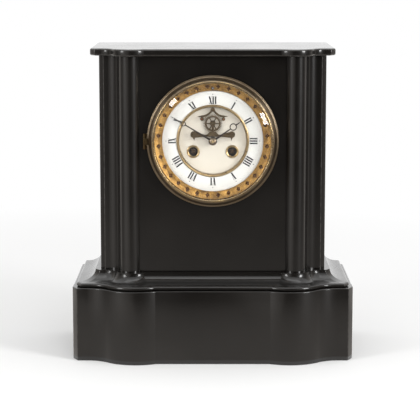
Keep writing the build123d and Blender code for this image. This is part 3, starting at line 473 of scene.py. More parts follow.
def make_groups():
    """The effects that several materials share."""
    nodes, given, result = new_group("Grain", {"Cloud Scale": 20.0, "Speck Scale": 900.0}, ("Cloud", "Speck"))
    cloud = nodes.noise(given["Cloud Scale"], 4.0)
    nodes.link(nodes.scaled(cloud, 0.32, 0.68, 0, 1), result["Cloud"])
    speck = nodes.noise(given["Speck Scale"], 2.0)
    nodes.link(nodes.scaled(speck, 0.3, 0.7, 0, 1), result["Speck"])

    nodes, given, result = new_group("Wear", {"Breaks": 300.0}, ("Edge",))
    edge = nodes.add("ShaderNodeAttribute", attribute_name="raised").outputs["Fac"]
    breaks = nodes.scaled(nodes.noise(given["Breaks"], 5.0), 0.4, 0.62, 0.2, 1)
    nodes.link(nodes.times(edge, breaks), result["Edge"])

    nodes, given, result = new_group("Tarnish", {"Scale": 90.0, "Share": 0.5}, ("Stain",))
    broad = nodes.noise(given["Scale"], 6.0)
    fine = nodes.noise(nodes.times(given["Scale"], 9.0), 3.0)
    both = nodes.plus(nodes.times(broad, 0.7), nodes.times(fine, 0.3))
    level = nodes.math("SUBTRACT", 0.75, nodes.times(given["Share"], 0.5))
    spread = nodes.math("SUBTRACT", both, level)
    nodes.link(nodes.scaled(spread, -0.14, 0.26, 0, 1), result["Stain"])

    nodes, given, result = new_group("Hairlines", {"Scale": 400.0, "Stretch": 0.05}, ("Lines",))
    scale = nodes.add("ShaderNodeCombineXYZ", {0: given["Stretch"], 1: given["Stretch"], 2: 1.0}).outputs[0]
    drawn = nodes.add("ShaderNodeVectorMath", {0: nodes.place(), 1: scale}, operation="MULTIPLY").outputs[0]
    lines = nodes.noise(given["Scale"], 3.0, drawn)
    nodes.link(nodes.scaled(lines, 0.35, 0.65, 0, 1), result["Lines"])


def new_material(name, **constants):
    """A material with a Principled shader and its plain values."""
    material = bpy.data.materials.new(name)
    material.use_nodes = True
    shader = material.node_tree.nodes["Principled BSDF"]
    for key, value in constants.items():
        shader.inputs[key.replace("_", " ").title().replace("Ior", "IOR")].default_value = value
    return material, Nodes(material.node_tree), shader.inputs


def join(nodes, shader, **links):
    """Links outputs to a shader's inputs."""
    for key, output in links.items():
        nodes.link(output, shader[key.replace("_", " ").title()])


def toned(colour, factor):
    """A colour made darker or lighter."""
    return [factor * v for v in colour]


def mixed_surface(material, nodes, share, second):
    """Mixes a second shader into a material's surface."""
    tree = material.node_tree
    parts = {0: share, 1: tree.nodes["Principled BSDF"].outputs[0], 2: second.outputs[0]}
    mix = nodes.add("ShaderNodeMixShader", parts)
    nodes.link(mix.outputs[0], tree.nodes["Material Output"].inputs["Surface"])


def slate_material(colours):
    """Waxed black slate, faintly cloudy and specked, and paler on worn edges."""
    material, nodes, shader = new_material("slate", coat_roughness=0.11, specular_ior_level=0.28)
    grain = nodes.group("Grain", cloud_scale=14.0, speck_scale=1400.0)
    wear = nodes.group("Wear", breaks=260.0)["Edge"]
    lines = nodes.group("Hairlines", scale=300.0, stretch=0.2)["Lines"]
    dark = nodes.colour(grain["Cloud"], colours.slate, toned(colours.slate, 1.8))
    specked = nodes.colour(nodes.times(grain["Speck"], 0.2), dark, toned(colours.slate, 2.6))
    worn = nodes.colour(nodes.times(wear, 0.6), specked, colours.slate_wear)
    rough = nodes.plus(nodes.scaled(grain["Cloud"], 0, 1, 0.32, 0.42), nodes.times(wear, 0.12))
    wax = nodes.scaled(nodes.plus(grain["Cloud"], lines), 0, 2, 1.0, 0.88)
    height = nodes.plus(nodes.times(grain["Speck"], 0.3), grain["Cloud"])
    join(nodes, shader, base_color=worn, roughness=rough, coat_weight=wax, normal=nodes.bump(height, 0.012))
    return material


def metal_material(name, colour, patina, roughness, share, stain_scale=90.0):
    """A metal with tarnish and fine hairlines."""
    material, nodes, shader = new_material(name, metallic=1.0)
    stain = nodes.group("Tarnish", scale=stain_scale, share=share)["Stain"]
    lines = nodes.group("Hairlines", scale=900.0, stretch=0.08)["Lines"]
    cloud = nodes.group("Grain", cloud_scale=60.0, speck_scale=2500.0)["Cloud"]
    clouded = nodes.colour(nodes.times(cloud, 0.35), colour, toned(colour, 0.8))
    stained = nodes.colour(nodes.times(stain, 0.6), clouded, patina)
    rough = nodes.plus(nodes.scaled(stain, 0, 1, roughness, roughness + 0.22), nodes.times(lines, 0.07))
    join(nodes, shader, base_color=stained, roughness=rough, normal=nodes.bump(lines, 0.01))
    return material


def bezel_material(colours):
    """Brass with a dark patina, polished bright where hands have rubbed it."""
    material, nodes, shader = new_material("bezel_brass", metallic=1.0)
    polish = nodes.group("Wear", breaks=120.0)["Edge"]
    stain = nodes.group("Tarnish", scale=120.0, share=0.4)["Stain"]
    lines = nodes.group("Hairlines", scale=900.0, stretch=0.08)["Lines"]
    dull = nodes.colour(nodes.times(stain, 0.6), colours.dull_brass, colours.patina)
    colour = nodes.colour(polish, dull, colours.brass)
    rough = nodes.plus(nodes.scaled(polish, 0, 1, 0.3, 0.16), nodes.times(lines, 0.06))
    join(nodes, shader, base_color=colour, roughness=rough, normal=nodes.bump(lines, 0.01))
    return material


def gilt_material(colours):
    """Gilding that is bright on the relief and brown in its hollows."""
    material, nodes, shader = new_material("gilding", metallic=1.0)
    relief = nodes.add("ShaderNodeAttribute", attribute_name="raised").outputs["Fac"]
    stain = nodes.group("Tarnish", scale=170.0, share=0.66)["Stain"]
    grain = nodes.group("Grain", cloud_scale=120.0, speck_scale=2200.0)
    hollow = nodes.math("MAXIMUM", nodes.scaled(relief, 0.55, 0.1, 0, 1), nodes.times(stain, 0.75))
    clouded = nodes.colour(grain["Cloud"], colours.gilt, toned(colours.gilt, 0.62))
    colour = nodes.colour(hollow, clouded, colours.patina)
    rough = nodes.scaled(hollow, 0, 1, 0.34, 0.62)
    join(nodes, shader, base_color=colour, roughness=rough, normal=nodes.bump(grain["Speck"], 0.02))
    return material


def enamel_material(name, colour):
    """Fired enamel: glossy, faintly uneven in tone."""
    material, nodes, shader = new_material(name, coat_roughness=0.05)
    grain = nodes.group("Grain", cloud_scale=45.0, speck_scale=1500.0)
    clouded = nodes.colour(nodes.times(grain["Cloud"], 0.5), colour, toned(colour, 0.94))
    rough = nodes.scaled(grain["Speck"], 0, 1, 0.16, 0.24)
    glaze = nodes.scaled(grain["Cloud"], 0, 1, 0.35, 0.5)
    uneven = nodes.bump(grain["Cloud"], 0.02)
    join(nodes, shader, base_color=clouded, roughness=rough, coat_weight=glaze, normal=uneven)
    return material


def dark_material(name, colour, metallic, roughness):
    """Fired black, dark steel or carnelian, with a little life in the tone."""
    material, nodes, shader = new_material(name, metallic=metallic)
    grain = nodes.group("Grain", cloud_scale=200.0, speck_scale=2600.0)
    clouded = nodes.colour(grain["Cloud"], colour, toned(colour, 1.7))
    rough = nodes.scaled(grain["Speck"], 0, 1, roughness, roughness + 0.15)
    join(nodes, shader, base_color=clouded, roughness=rough, normal=nodes.bump(grain["Speck"], 0.01))
    return material


def glass_material():
    """Clear glass that lets the lamps through to the dial."""
    material, nodes, shader = new_material("bezel_glass", ior=1.45, transmission_weight=1.0)
    smear = nodes.group("Grain", cloud_scale=30.0, speck_scale=700.0)["Cloud"]
    join(nodes, shader, roughness=nodes.scaled(smear, 0, 1, 0.0, 0.003))
    shadow = nodes.add("ShaderNodeLightPath").outputs["Is Shadow Ray"]
    mixed_surface(material, nodes, shadow, nodes.add("ShaderNodeBsdfTransparent"))
    return material


materials = {}


def make_materials(colours):
    """Every material of the clock, by name."""
    make_groups()
    patina = colours.patina
    materials.update({
        "slate": slate_material(colours),
        "brass": metal_material("brass", colours.brass, patina, 0.20, 0.30),
        "aged": metal_material("aged_brass", toned(colours.brass, 0.6), patina, 0.24, 0.4, 200.0),
        "bezel": bezel_material(colours),
        "gilt": gilt_material(colours),
        "bell": metal_material("bell_metal", colours.bell, patina, 0.26, 0.35),
        "bronze": metal_material("dark_bronze", colours.bronze, patina, 0.34, 0.45, 220.0),
        "steel": metal_material("steel", colours.steel, toned(colours.steel, 0.3), 0.24, 0.25),
        # Painted light on the winding squares' front ends
        "lit_square": metal_material("lit_square_steel", colours.lit_square, patina, 0.36, 0.5),
        "dull": metal_material("dull_brass", colours.dull_brass, patina, 0.24, 0.3, 200.0),
        "enamel": enamel_material("enamel", colours.enamel),
        "cream": enamel_material("cream_enamel", colours.cream),
        "figures": dark_material("fired_figures", colours.figures, 0.0, 0.25),
        "hands": dark_material("dark_steel", colours.hands, 0.7, 0.28),
        "stone": dark_material("carnelian", colours.stone, 0.0, 0.08),
        "glass": glass_material(),
    })


# The stone case

ROLL_STEPS = 40
COVE_STEPS = 24
FLAT_MARGIN = 0.5


def between(pair, share):
    """A plan value between the body's, at share 0, and the plinth's, at share 1."""
    return pair[0] + (pair[1] - pair[0]) * share


def rounded_corner(last, corner, following, radius, steps=4):
    """The points that round one corner of a plan, each with the share that it is worn."""
    corner = Vector(corner)
    start = corner + (Vector(last) - corner).normalized() * radius
    end = corner + (Vector(following) - corner).normalized() * radius
    return [(*point, sin(pi * t)) for point, t in bend(start, corner, end, steps)]


def half_plan(sizes, out):
    """The right half of the serpentine plan this far outside the body: roll, cove, wing and cut corner.

    Each point is x, y and the share that it is worn.
    """
    share = out / INSET
    half = BODY_HALF + out
    panel = PANEL_Y - out
    wing = panel + sizes.wing_setback
    radius = between(sizes.roll_radius, share)
    roll = (half - between(sizes.roll_from_side, share), panel - sizes.roll_rise + radius)
    cove_x = half - between(sizes.cove_from_side, share)
    drop = roll[1] - wing
    run = cove_x - roll[0]
    cove_radius = (run**2 + drop**2 - radius**2) / (2 * (radius - drop))
    cove = (cove_x, wing - cove_radius)
    turn = atan2(cove[1] - roll[1], cove[0] - roll[0])
    start = -pi / 2 - atan2(sqrt(radius**2 - (radius - sizes.roll_rise) ** 2), radius - sizes.roll_rise)
    edge = (half - between(sizes.corner_width, share), wing)
    side = (half, wing + between(sizes.corner_depth, share))
    curve = arc(roll, radius, start, turn, ROLL_STEPS)
    curve += arc(cove, cove_radius, turn + pi, pi / 2, COVE_STEPS)[1:]
    points = [(x, y, 0.0) for x, y in curve]
    points += rounded_corner(curve[-1], edge, side, sizes.arris)
    points += rounded_corner(edge, side, (half, side[1] + 1), sizes.arris)
    return points


def whole_plan(sizes, out, rear_y):
    """The whole plan with its straight back."""
    right = half_plan(sizes, out)
    left = [(-x, y, worn) for x, y, worn in reversed(right)]
    half = BODY_HALF + out
    return left + right + [(half, rear_y, 0.0), (-half, rear_y, 0.0)]


def at_height(plan, z, edge=0.0):
    """A plan's points at a height, worn at least as much as their edge, or not at all on a flat."""
    return [(x, y, z, 0.0 if edge is None else max(worn, edge)) for x, y, worn in plan]


def quarter(steps):
    """Angles over a quarter turn."""
    return [pi / 2 * i / steps for i in range(steps + 1)]


def lay_slate(thing, node):
    """Sets a stone slab in the case, in the place of its CAD node."""
    dress(thing, "case", materials["slate"], "black_slate", node)


def make_slab(node, sizes, steps, rear_y):
    """A slab of the whole plan through steps of (distance outside the body, height, wear)."""
    shell = Shell()
    shell.stack([at_height(whole_plan(sizes, out, rear_y), z, worn) for out, z, worn in steps])
    lay_slate(shell.object(f"slate_{node}"), node)


def make_top_slab(sizes):
    """The thin top slab with rounded edges."""
    radius = sizes.slab_rounding
    overhang = slab_high.x - BODY_HALF
    wear = 0.5
    edge = [(overhang - radius - FLAT_MARGIN, 0.0, None)]
    edge += [(overhang - radius * (1 - sin(a)), radius * (1 - cos(a)), wear * sin(2 * a)) for a in quarter(6)]
    steps = [(out, BODY_TOP + rise, worn) for out, rise, worn in edge]
    steps += [(out, slab_high.z - rise, worn) for out, rise, worn in reversed(edge)]
    make_slab("top_slab", sizes, steps, slab_high.y)


def make_pilasters(sizes):
    """The two serpentine corner pieces of the body."""
    outline = half_plan(sizes, 0) + [(BODY_HALF, CORNER_BACK, 0.0), (PANEL_HALF, CORNER_BACK, 0.0)]
    for side, name in ((-1, "left"), (1, "right")):
        plan = [(side * x, y, worn) for x, y, worn in outline]
        shell = Shell()
        shell.stack([at_height(plan, LEDGE_TOP), at_height(plan, BODY_TOP)])
        lay_slate(shell.object(f"slate_{name}_pilaster"), f"{name}_pilaster")


def fill_flats(thing, pairs):
    """Closes the flats of a moulding, each between an outer and an inner ring of points."""
    work = bmesh.new()
    work.from_mesh(thing.data)
    work.verts.ensure_lookup_table()
    for rings in pairs:
        rim = []
        for ring in rings:
            for a, b in zip(ring, ring[1:] + ring[:1]):
                rim.append(work.edges.get((work.verts[a], work.verts[b])))
        bmesh.ops.triangle_fill(work, use_beauty=True, edges=rim)
    bmesh.ops.recalc_face_normals(work, faces=work.faces)
    work.to_mesh(thing.data)
    work.free()
    thing.data.shade_smooth()
    thing.data.set_sharp_from_angle(angle=SHARP_ANGLE)


def make_ledge(sizes):
    """The moulding between body and plinth, open inside for the pendulum."""
    drop = LEDGE_TOP - LEDGE_FOOT - sizes.bead_height
    width = sizes.cavetto_width
    steps = [(sizes.ledge_flat + width * (1 - cos(a)), LEDGE_TOP - drop * sin(a)) for a in quarter(24)]
    radius = sizes.bead_height / 2 / sin(sizes.bead_turn)
    middle = LEDGE_FOOT + sizes.bead_height / 2
    half_steps = 6
    for i in range(2 * half_steps + 1):
        angle = sizes.bead_turn * (1 - i / half_steps)
        swell = radius * (cos(angle) - cos(sizes.bead_turn))
        steps.append((sizes.bead_neck + swell, middle + radius * sin(angle)))
    shell = Shell()
    rings = shell.stack([at_height(whole_plan(sizes, out, BACK_Y), z) for out, z in steps], caps=False)
    half = INNER_HALF - sizes.ledge_rim
    rear = BACK_Y - sizes.ledge_rim
    well = [(-half, CORNER_BACK), (half, CORNER_BACK), (half, rear), (-half, rear)]
    top = shell.loop([(x, y, LEDGE_TOP) for x, y in well])
    foot = shell.loop([(x, y, LEDGE_FOOT) for x, y in well])
    shell.bridge(top, foot)
    thing = shell.object("slate_ledge_moulding")
    fill_flats(thing, ((rings[0], top), (rings[-1], foot)))
    lay_slate(thing, "ledge_moulding")


def make_plinth_front(sizes):
    """The plinth's serpentine front with a rounded top edge."""
    foot = sizes.arris
    top = sizes.plinth_arris
    height = plinth_high.z
    top_wear = 0.25
    steps = [(INSET - foot - FLAT_MARGIN, 0.0, None)]
    steps += [(INSET - foot * (1 - sin(a)), foot * (1 - cos(a)), sin(2 * a)) for a in quarter(4)]
    for a in quarter(4):
        steps.append((INSET - top * (1 - cos(a)), height - top * (1 - sin(a)), top_wear * sin(2 * a)))
    steps.append((INSET - top - FLAT_MARGIN, height, None))
    make_slab("plinth_front", sizes, steps, plinth_high.y)


class CLOCK_OT_finishes(bpy.types.Operator):
    """Make the materials of the clock"""

    bl_idname = "clock.finishes"
    bl_label = "Finishes"

    def execute(self, context):
        make_materials(context.scene.clock_colours)
        return {"FINISHED"}


class CLOCK_OT_slate(bpy.types.Operator):
    """Make the stone slabs of the case"""

    bl_idname = "clock.slate"
    bl_label = "Slate case"

    def execute(self, context):
        sizes = in_millimetres(context.scene.clock_slate)
        make_top_slab(sizes)
        make_pilasters(sizes)
        make_ledge(sizes)
        make_plinth_front(sizes)
        for node in ("front_panel", "left_side_panel", "right_side_panel", "back_panel", "plinth_left_side",
                     "plinth_right_side", "plinth_back"):
            lay_slate(eased(node, sizes.seam, f"slate_{node}"), node)
        paint(materials["slate"], "base_floor")
        return {"FINISHED"}


# The bezel

# Sides of a turned ring, radius of the flat middle of a turned plate, and radius of the hinges' knuckles
TURNED_STEPS = 240
HUB = 20
KNUCKLE_RADIUS = 1.7


def rim_polish(depth):
    """How bright the rim is rubbed, this far inside its outer edge: most on the lip, then on the bead."""
    bead_end = 0.7
    lip_start = 5.5
    if depth < bead_end:
        return 0.2
    return 0.8 if depth > lip_start else 0.03


def add_leaf(shell, hinge_x, hinge_z, edge_x, low_z, high_z):
    """The middle knuckle of a hinge and the lug that reaches from it into the edge of a rim or a door."""
    half = 3.4
    bore = 0.86
    overlap = 2
    lug_x = hinge_x + 0.9
    inner_x = edge_x + overlap
    knuckle = softened([(KNUCKLE_RADIUS, -half), (KNUCKLE_RADIUS, half), (bore, half), (bore, -half)], 0.25)
    shell.tube(turned(knuckle, 32, lambda x, z, y: on_dial(hinge_x + x, y, hinge_z + z)))
    lug = softened([(lug_x, low_z), (inner_x, low_z), (inner_x, high_z), (lug_x, high_z)], 0.2, 2)
    shell.stack([[on_dial(x, y, z) for x, z in lug] for y in (-half, half)])


def make_bezel_rim():
    """The hinged rim: a hollowed slope between an outer bead and a rolled lip, with its hinge knuckle."""
    outer = rim_high.x
    foot = PANEL_Y - rim_high.y
    top = PANEL_Y - rim_low.y
    throat = outer - 5.5
    groove = glass_high.x + 0.2
    shoulder = groove - 0.6
    bead = [(outer, foot + 0.3), (outer, foot + 1.9), (outer - 0.5, foot + 2.5), (outer - 1.1, foot + 2.4)]
    slope = [(outer - 1.9, foot + 2.9), (outer - 3.3, foot + 4.6), (outer - 4.4, top - 2.0)]
    lip = [(outer - 4.9, top - 1.0), (outer - 5.4, top - 1.1), (outer - 6.0, top - 0.2), (outer - 6.9, top),
           (outer - 7.6, top - 0.4), (outer - 7.9, top - 1.1)]
    rebate = [(groove - 1.2, GLASS_FRONT), (groove, GLASS_FRONT), (groove, GLASS_BACK),
              (shoulder, GLASS_BACK), (shoulder, GLASS_BACK - 1.2), (throat, GLASS_BACK - 2.4)]
    section = softened([(throat, foot + 0.3), *bead, *slope, *lip, *rebate], 0.35, 2)
    shell = Shell()
    shell.tube(turned([(r, z, rim_polish(outer - r)) for r, z in section], TURNED_STEPS))
    hinge_z = foot + KNUCKLE_RADIUS
    add_leaf(shell, rim_low.x + KNUCKLE_RADIUS, hinge_z, -outer, hinge_z + 0.3, hinge_z + 1.6)
    rim = shell.object("bezel_hinged_rim", radians(50))
    dress(rim, "bezel", materials["bezel"], "brass", "bezel_rim")
    second_material(rim, materials["bronze"], lambda places: min(p.x for p in places) < -outer * MM)


def make_bezel_glass(sizes):
    """The flat glass with its ground bevel."""
    edge = glass_high.x
    section = [(HUB, GLASS_BACK), (edge, GLASS_BACK), (edge, GLASS_FRONT - sizes.bevel_depth),
               (edge - sizes.bevel_width, GLASS_FRONT), (HUB, GLASS_FRONT)]
    shell = Shell()
    shell.stack(turned(section, TURNED_STEPS))
    glass = shell.object("bevelled_bezel_glass", radians(8))
    dress(glass, "bezel", materials["glass"], "clear_glass", "bezel_glass")


class CLOCK_OT_bezel(bpy.types.Operator):
    """Make the hinged bezel with its glass and finish its seat"""

    bl_idname = "clock.bezel"
    bl_label = "Bezel"

    def execute(self, context):
        make_bezel_rim()
        make_bezel_glass(in_millimetres(context.scene.clock_dial))
        paint(materials["bronze"], "bezel_seat")
        return {"FINISHED"}


# The dial


def hollow(turn, across, half_turn, half_across):
    """How deep a point lies in a diamond-shaped hollow of the band."""
    steepness = 2.4
    return min(1.0, steepness * max(0.0, 1 - abs(turn) / half_turn - abs(across - 0.5) / half_across))


def ornament(turn, across):
    """Height between 0 and 1 of the chased band: turn is -0.5 to 0.5 within a motif, across 0 to 1 outward.

    A large hollow flower with a boss stands between two small ones, among shallow leaves.
    """
    leaf_depth = 0.65
    small_depth = 0.55
    boss_height = 0.4
    rim_width = 0.1
    if not 0 < across < 1:
        return 1.0
    edge = abs(turn) - 0.5
    leaves = leaf_depth * (0.5 + 0.5 * cos(6 * tau * turn)) * sin(pi * across)
    sunk = max(hollow(turn, across, 0.3, 0.6), small_depth * hollow(edge, across, 0.16, 0.42), leaves)
    boss = boss_height * max(0.0, 1 - hypot(turn / 0.06, (across - 0.5) / 0.13))
    rims = max(0.0, 1 - min(across, 1 - across) / rim_width)
    return max(1 - sunk, boss, rims)


def regulator_hole():
    """The small hole above the twelve, as x, y and radius in the dial frame."""
    radius = 1.3
    low, high = corners("regulator_arbor")
    return ((low.x + high.x) / 2, (low.z + high.z) / 2 - DIAL_Z, radius)


def make_sight_ring(sizes):
    """The gilt sight ring with its chased band."""
    low, high = corners("sight_ring")
    outer = high.x
    inner = outer - 8.3
    floor = PANEL_Y - high.y
    top = PANEL_Y - low.y
    band_start = inner + 1.3
    band_width = outer - 2.0 - band_start
    band_foot = top - 1.85
    band_rise = 1.35
    rows = 22
    bead = [(inner, top - 2.1), (inner + 0.35, top - 1.8), (inner + 0.8, top - 1.7), (inner + 1.2, top - 1.9)]
    shares = [i / rows for i in range(rows + 1)]
    band = [(band_start + band_width * share, band_foot + band_rise * share) for share in shares]
    edge = [(outer - 1.8, top - 0.5), (outer - 1.4, top - 0.1), (outer - 0.8, top),
            (outer - 0.25, top - 0.25), (outer, top - 0.7)]
    motif_steps = 28
    segments = sizes.motif_count * motif_steps
    hole_x, hole_y, hole_radius = regulator_hole()
    hole_floor = floor + 0.1
    rings = []
    for radius, z in [(inner, floor), *bead, *band, *edge, (outer, floor)]:
        across = (radius - band_start) / band_width
        ring = []
        for i in range(segments):
            relief = ornament((sizes.motif_count * i / segments) % 1 - 0.5, across)
            height = z - sizes.motif_depth * (1 - relief)
            x, y = polar(radius, tau * i / segments)
            # The regulator hole is a pit to the ring's floor given no relief, so the gilding paints it the
            # darkest patina brown: a painted shade for the open hole
            if hypot(x - hole_x, y - hole_y) < hole_radius and z > floor:
                height = hole_floor
                relief = 0.0
            ring.append((*on_dial(x, y, height), relief))
        rings.append(ring)
    shell = Shell()
    shell.tube(rings)
    thing = shell.object("gilt_sight_ring", radians(60))
    dress(thing, "case", materials["gilt"], "brass", "sight_ring")


class CLOCK_OT_dial(bpy.types.Operator):
    """Make the gilt ring and finish the enamel of the dial"""

    bl_idname = "clock.dial"
    bl_label = "Dial"

    def execute(self, context):
        make_sight_ring(in_millimetres(context.scene.clock_dial))
        paint(materials["enamel"], "chapter_ring")
        paint(materials["cream"], "center_dial")
        paint(materials["aged"], "center_ring", "winding_hole_collets", "dial_plate")
        return {"FINISHED"}


def dome(radius):
    """The level of the domed chapter ring at a radius."""
    width = 15.1
    sag = 0.9
    half = width / 2
    sphere = (half**2 + sag**2) / (2 * sag)
    return CHAPTER_CROWN - sphere + sqrt(sphere**2 - (radius - CHAPTER_OUTER + half) ** 2)


class Figures(Shell):
    """Fired marks that lie on the domed enamel."""

    proud = 0.05
    sunk = -0.08

    def mark(self, outline, angle, foot):
        """A thin closed mark from rows of (left, right, rise) at an angle clockwise from the twelve."""
        rings = []
        for left, right, rise in outline:
            ring = []
            sides = (left, right, right, left)
            for across, lift in zip(sides, (self.sunk, self.sunk, self.proud, self.proud)):
                x = (foot + rise) * sin(angle) + across * cos(angle)
                y = (foot + rise) * cos(angle) - across * sin(angle)
                ring.append(on_dial(x, y, dome(hypot(x, y)) + lift))
            rings.append(ring)
        self.stack(rings)

    def stroke(self, low, high, width, height, angle, foot, steps=6):
        """A straight stroke of a figure from its foot to its head."""
        rows = []
        for i in range(steps + 1):
            share = i / steps
            middle = low + (high - low) * share
            rows.append((middle - width / 2, middle + width / 2, height * share))
        self.mark(rows, angle, foot)

    def dot(self, radius, angle, at, steps=8):
        """A round dot."""
        narrowest = 0.12 * radius
        rows = []
        for i in range(steps + 1):
            turn = pi * (i / steps - 0.5)
            half = max(radius * cos(turn), narrowest)
            rows.append((-half, half, radius * sin(turn)))
        self.mark(rows, angle, at)


def figure_strokes(letter, thick, thin):
    """The strokes of a letter as (foot, head, width), and the letter's width."""
    if letter == "I":
        return [(1.23, 1.23, thick)], 2.45
    if letter == "V":
        return [(1.6, 0.6, thick), (1.8, 2.75, thin)], 3.3
    return [(2.7, 0.6, thick), (0.5, 2.8, thin)], 3.3


def add_hour(marks, sizes, letters, angle):
    """An hour's figure with serifs at the ends of its strokes."""
    serif_reach = 0.2
    height = sizes.figure_head - sizes.figure_foot
    drawn = [figure_strokes(letter, sizes.thick_stroke, sizes.thin_stroke) for letter in letters]
    left = -sum(width for _, width in drawn) / 2
    for strokes, width in drawn:
        for low, high, thickness in strokes:
            marks.stroke(left + low, left + high, thickness, height, angle, sizes.figure_foot)
            half = thickness / 2 + serif_reach
            for end, rise in ((left + low, 0), (left + high, height - sizes.serif)):
                rows = [(end - half, end + half, lift) for lift in (rise, rise + sizes.serif)]
                marks.mark(rows, angle, sizes.figure_foot)
        left += width


class CLOCK_OT_figures(bpy.types.Operator):
    """Make the hour figures and the minute dots"""

    bl_idname = "clock.figures"
    bl_label = "Figures"

    def execute(self, context):
        sizes = in_millimetres(context.scene.clock_dial)
        marks = Figures()
        hours = ("XII", "I", "II", "III", "IIII", "V", "VI", "VII", "VIII", "IX", "X", "XI")
        for hour, letters in enumerate(hours):
            angle = tau * hour / 12
            add_hour(marks, sizes, letters, angle)
            marks.dot(sizes.hour_dot, angle, sizes.dot_circle)
        for minute in range(60):
            if minute % 5:
                marks.dot(sizes.minute_dot, tau * minute / 60, sizes.dot_circle)
        dress(marks.object("chapter_figures", radians(60)), "case", materials["figures"], "steel")
        return {"FINISHED"}


class CLOCK_OT_hands(bpy.types.Operator):
    """Make the moon hands with eased edges and finish their nut and the hour wheel"""

    bl_idname = "clock.hands"
    bl_label = "Hands"

    def execute(self, context):
        easing = 0.18
        for node in ("hour_hand", "minute_hand"):
            dress(eased(node, easing, f"moon_{node}"), node, materials["hands"], "steel", node)
        paint(materials["dull"], "hand_nut")
        paint(materials["bronze"], "hour_wheel")
        return {"FINISHED"}


# The movement and the back


def make_winding_arbor(node):
    """A winding arbor painted dark steel, a painted shade that keeps the winding hole black, and paler brown
    on the front end of the square that the key turns, a painted light where light falls on it.
    """
    easing = 0.12
    lit_length = 1
    arbor = eased(node, easing, f"oiled_{node}")
    dress(arbor, node, materials["hands"], "steel", node)
    lit_end_y = (corners(node)[0].y + lit_length) * MM
    second_material(arbor, materials["lit_square"], lambda places: max(p.y for p in places) < lit_end_y)


class CLOCK_OT_escapement(bpy.types.Operator):
    """Make the visible escapement and the winding arbors with eased edges"""

    bl_idname = "clock.escapement"
    bl_label = "Escapement"

    def execute(self, context):
        cock_easing = 0.22
        anchor_easing = 0.15
        anchor_fuller = 0.2
        bronze = materials["bronze"]
        cock = eased("escape_cock", cock_easing, "bronze_escape_cock")
        dress(cock, "case", bronze, "dark_bronze", "escape_cock")
        anchor = eased("pallet_anchor", anchor_easing, "bronze_pallet_anchor", anchor_fuller)
        dress(anchor, "pallet_anchor", bronze, "dark_bronze", "pallet_anchor")
        paint(bronze, "escape_wheel")
        paint(materials["stone"], "pallet_stones")
        for node in ("going_winding_arbor", "strike_winding_arbor"):
            make_winding_arbor(node)
        return {"FINISHED"}


class CLOCK_OT_movement(bpy.types.Operator):
    """Finish the plates, trains, pendulum and bell"""

    bl_idname = "clock.movement"
    bl_label = "Movement"

    def execute(self, context):
        finishes = {"brass": "brass", "steel": "steel", "bell_metal": "bell"}
        for part in frame["record"]["subparts"]:
            if part["material_slot"] in finishes:
                paint(materials[finishes[part["material_slot"]]], part["node"])
        return {"FINISHED"}


def make_back_door():
    """The round rear door with a rolled edge and two turned lines, on its hinge knuckle."""
    low, high = corners("back_door")
    radius = high.x
    levels = [PANEL_Y - v.co.y / MM for v in frame["nodes"]["back_door"].data.vertices if v.co.x > 0]
    front = max(levels)
    back = min(levels)
    section = [(HUB, front), (radius - 0.3, front), (radius, front - 0.3), (radius, back),
               (radius - 0.5, back - 0.6), (radius - 1.4, back - 0.8), (radius - 2.3, back - 0.6),
               (radius - 2.8, back)]
    cut = back - 0.35
    for line in (radius * 0.86, radius * 0.5):
        section += [(line + 0.9, back), (line + 0.4, cut), (line - 0.4, cut), (line - 0.9, back)]
    section.append((HUB, back))
    shell = Shell()
    shell.stack(turned(section, 160))
    add_leaf(shell, low.x + KNUCKLE_RADIUS, PANEL_Y - high.y + KNUCKLE_RADIUS, -radius, back, front)
    dress(shell.object("brass_back_door"), "back_door", materials["aged"], "brass", "back_door")


class CLOCK_OT_back(bpy.types.Operator):
    """Make the rear door and finish its ring"""

    bl_idname = "clock.back"
    bl_label = "Back"

    def execute(self, context):
        make_back_door()
        paint(materials["aged"], "back_ring")
        return {"FINISHED"}


# The stage


def stage_object(shell, name, material):
    """A floor or card that isn't part of the clock."""
    thing = shell.object(name)
    thing.data.materials.append(material)
    return thing


def background_rays(nodes):
    """1 for the rays that show the background: from the camera, from gloss and through glass."""
    path = nodes.add("ShaderNodeLightPath").outputs
    shown = nodes.math("MAXIMUM", path["Is Camera Ray"], path["Is Glossy Ray"])
    return nodes.math("MAXIMUM", shown, path["Is Transmission Ray"])


def floor_material(colour):
    """Pale paper that keeps the clock's shadow and fades to white further off; the fade is centred left of
    the clock, so on its right the floor glows white sooner, a painted light that pales the shadow there.
    """
    painted_light_shift = (0.14, 0, 0)
    material, nodes, shader = new_material("pale_floor", roughness=0.9, specular_ior_level=0.1)
    cloud = nodes.group("Grain", cloud_scale=3.0, speck_scale=220.0)["Cloud"]
    join(nodes, shader, base_color=nodes.colour(nodes.times(cloud, 0.3), colour, toned(colour, 0.985)))
    # The fade's centre moved left of the clock: painted light over the shadow on the floor to its right
    shifted = nodes.add("ShaderNodeVectorMath", {0: nodes.place(), 1: painted_light_shift}).outputs[0]
    far = nodes.scaled(nodes.distance(shifted), 0.24, 1.0, 0, 1)
    white = nodes.add("ShaderNodeEmission", {"Strength": 1.0})
    mixed_surface(material, nodes, nodes.times(far, background_rays(nodes)), white)
    return material


def make_floor(colour):
    """A wide round floor."""
    radii = (300, 800, 2000, 8000, 30000)
    shell = Shell()
    rings = shell.stack(turned([(radius, 0) for radius in radii], 96, lambda x, y, z: (x, y, z)), caps=False)
    shell.faces.append(tuple(rings[0]))
    stage_object(shell, "pale_floor", floor_material(colour))


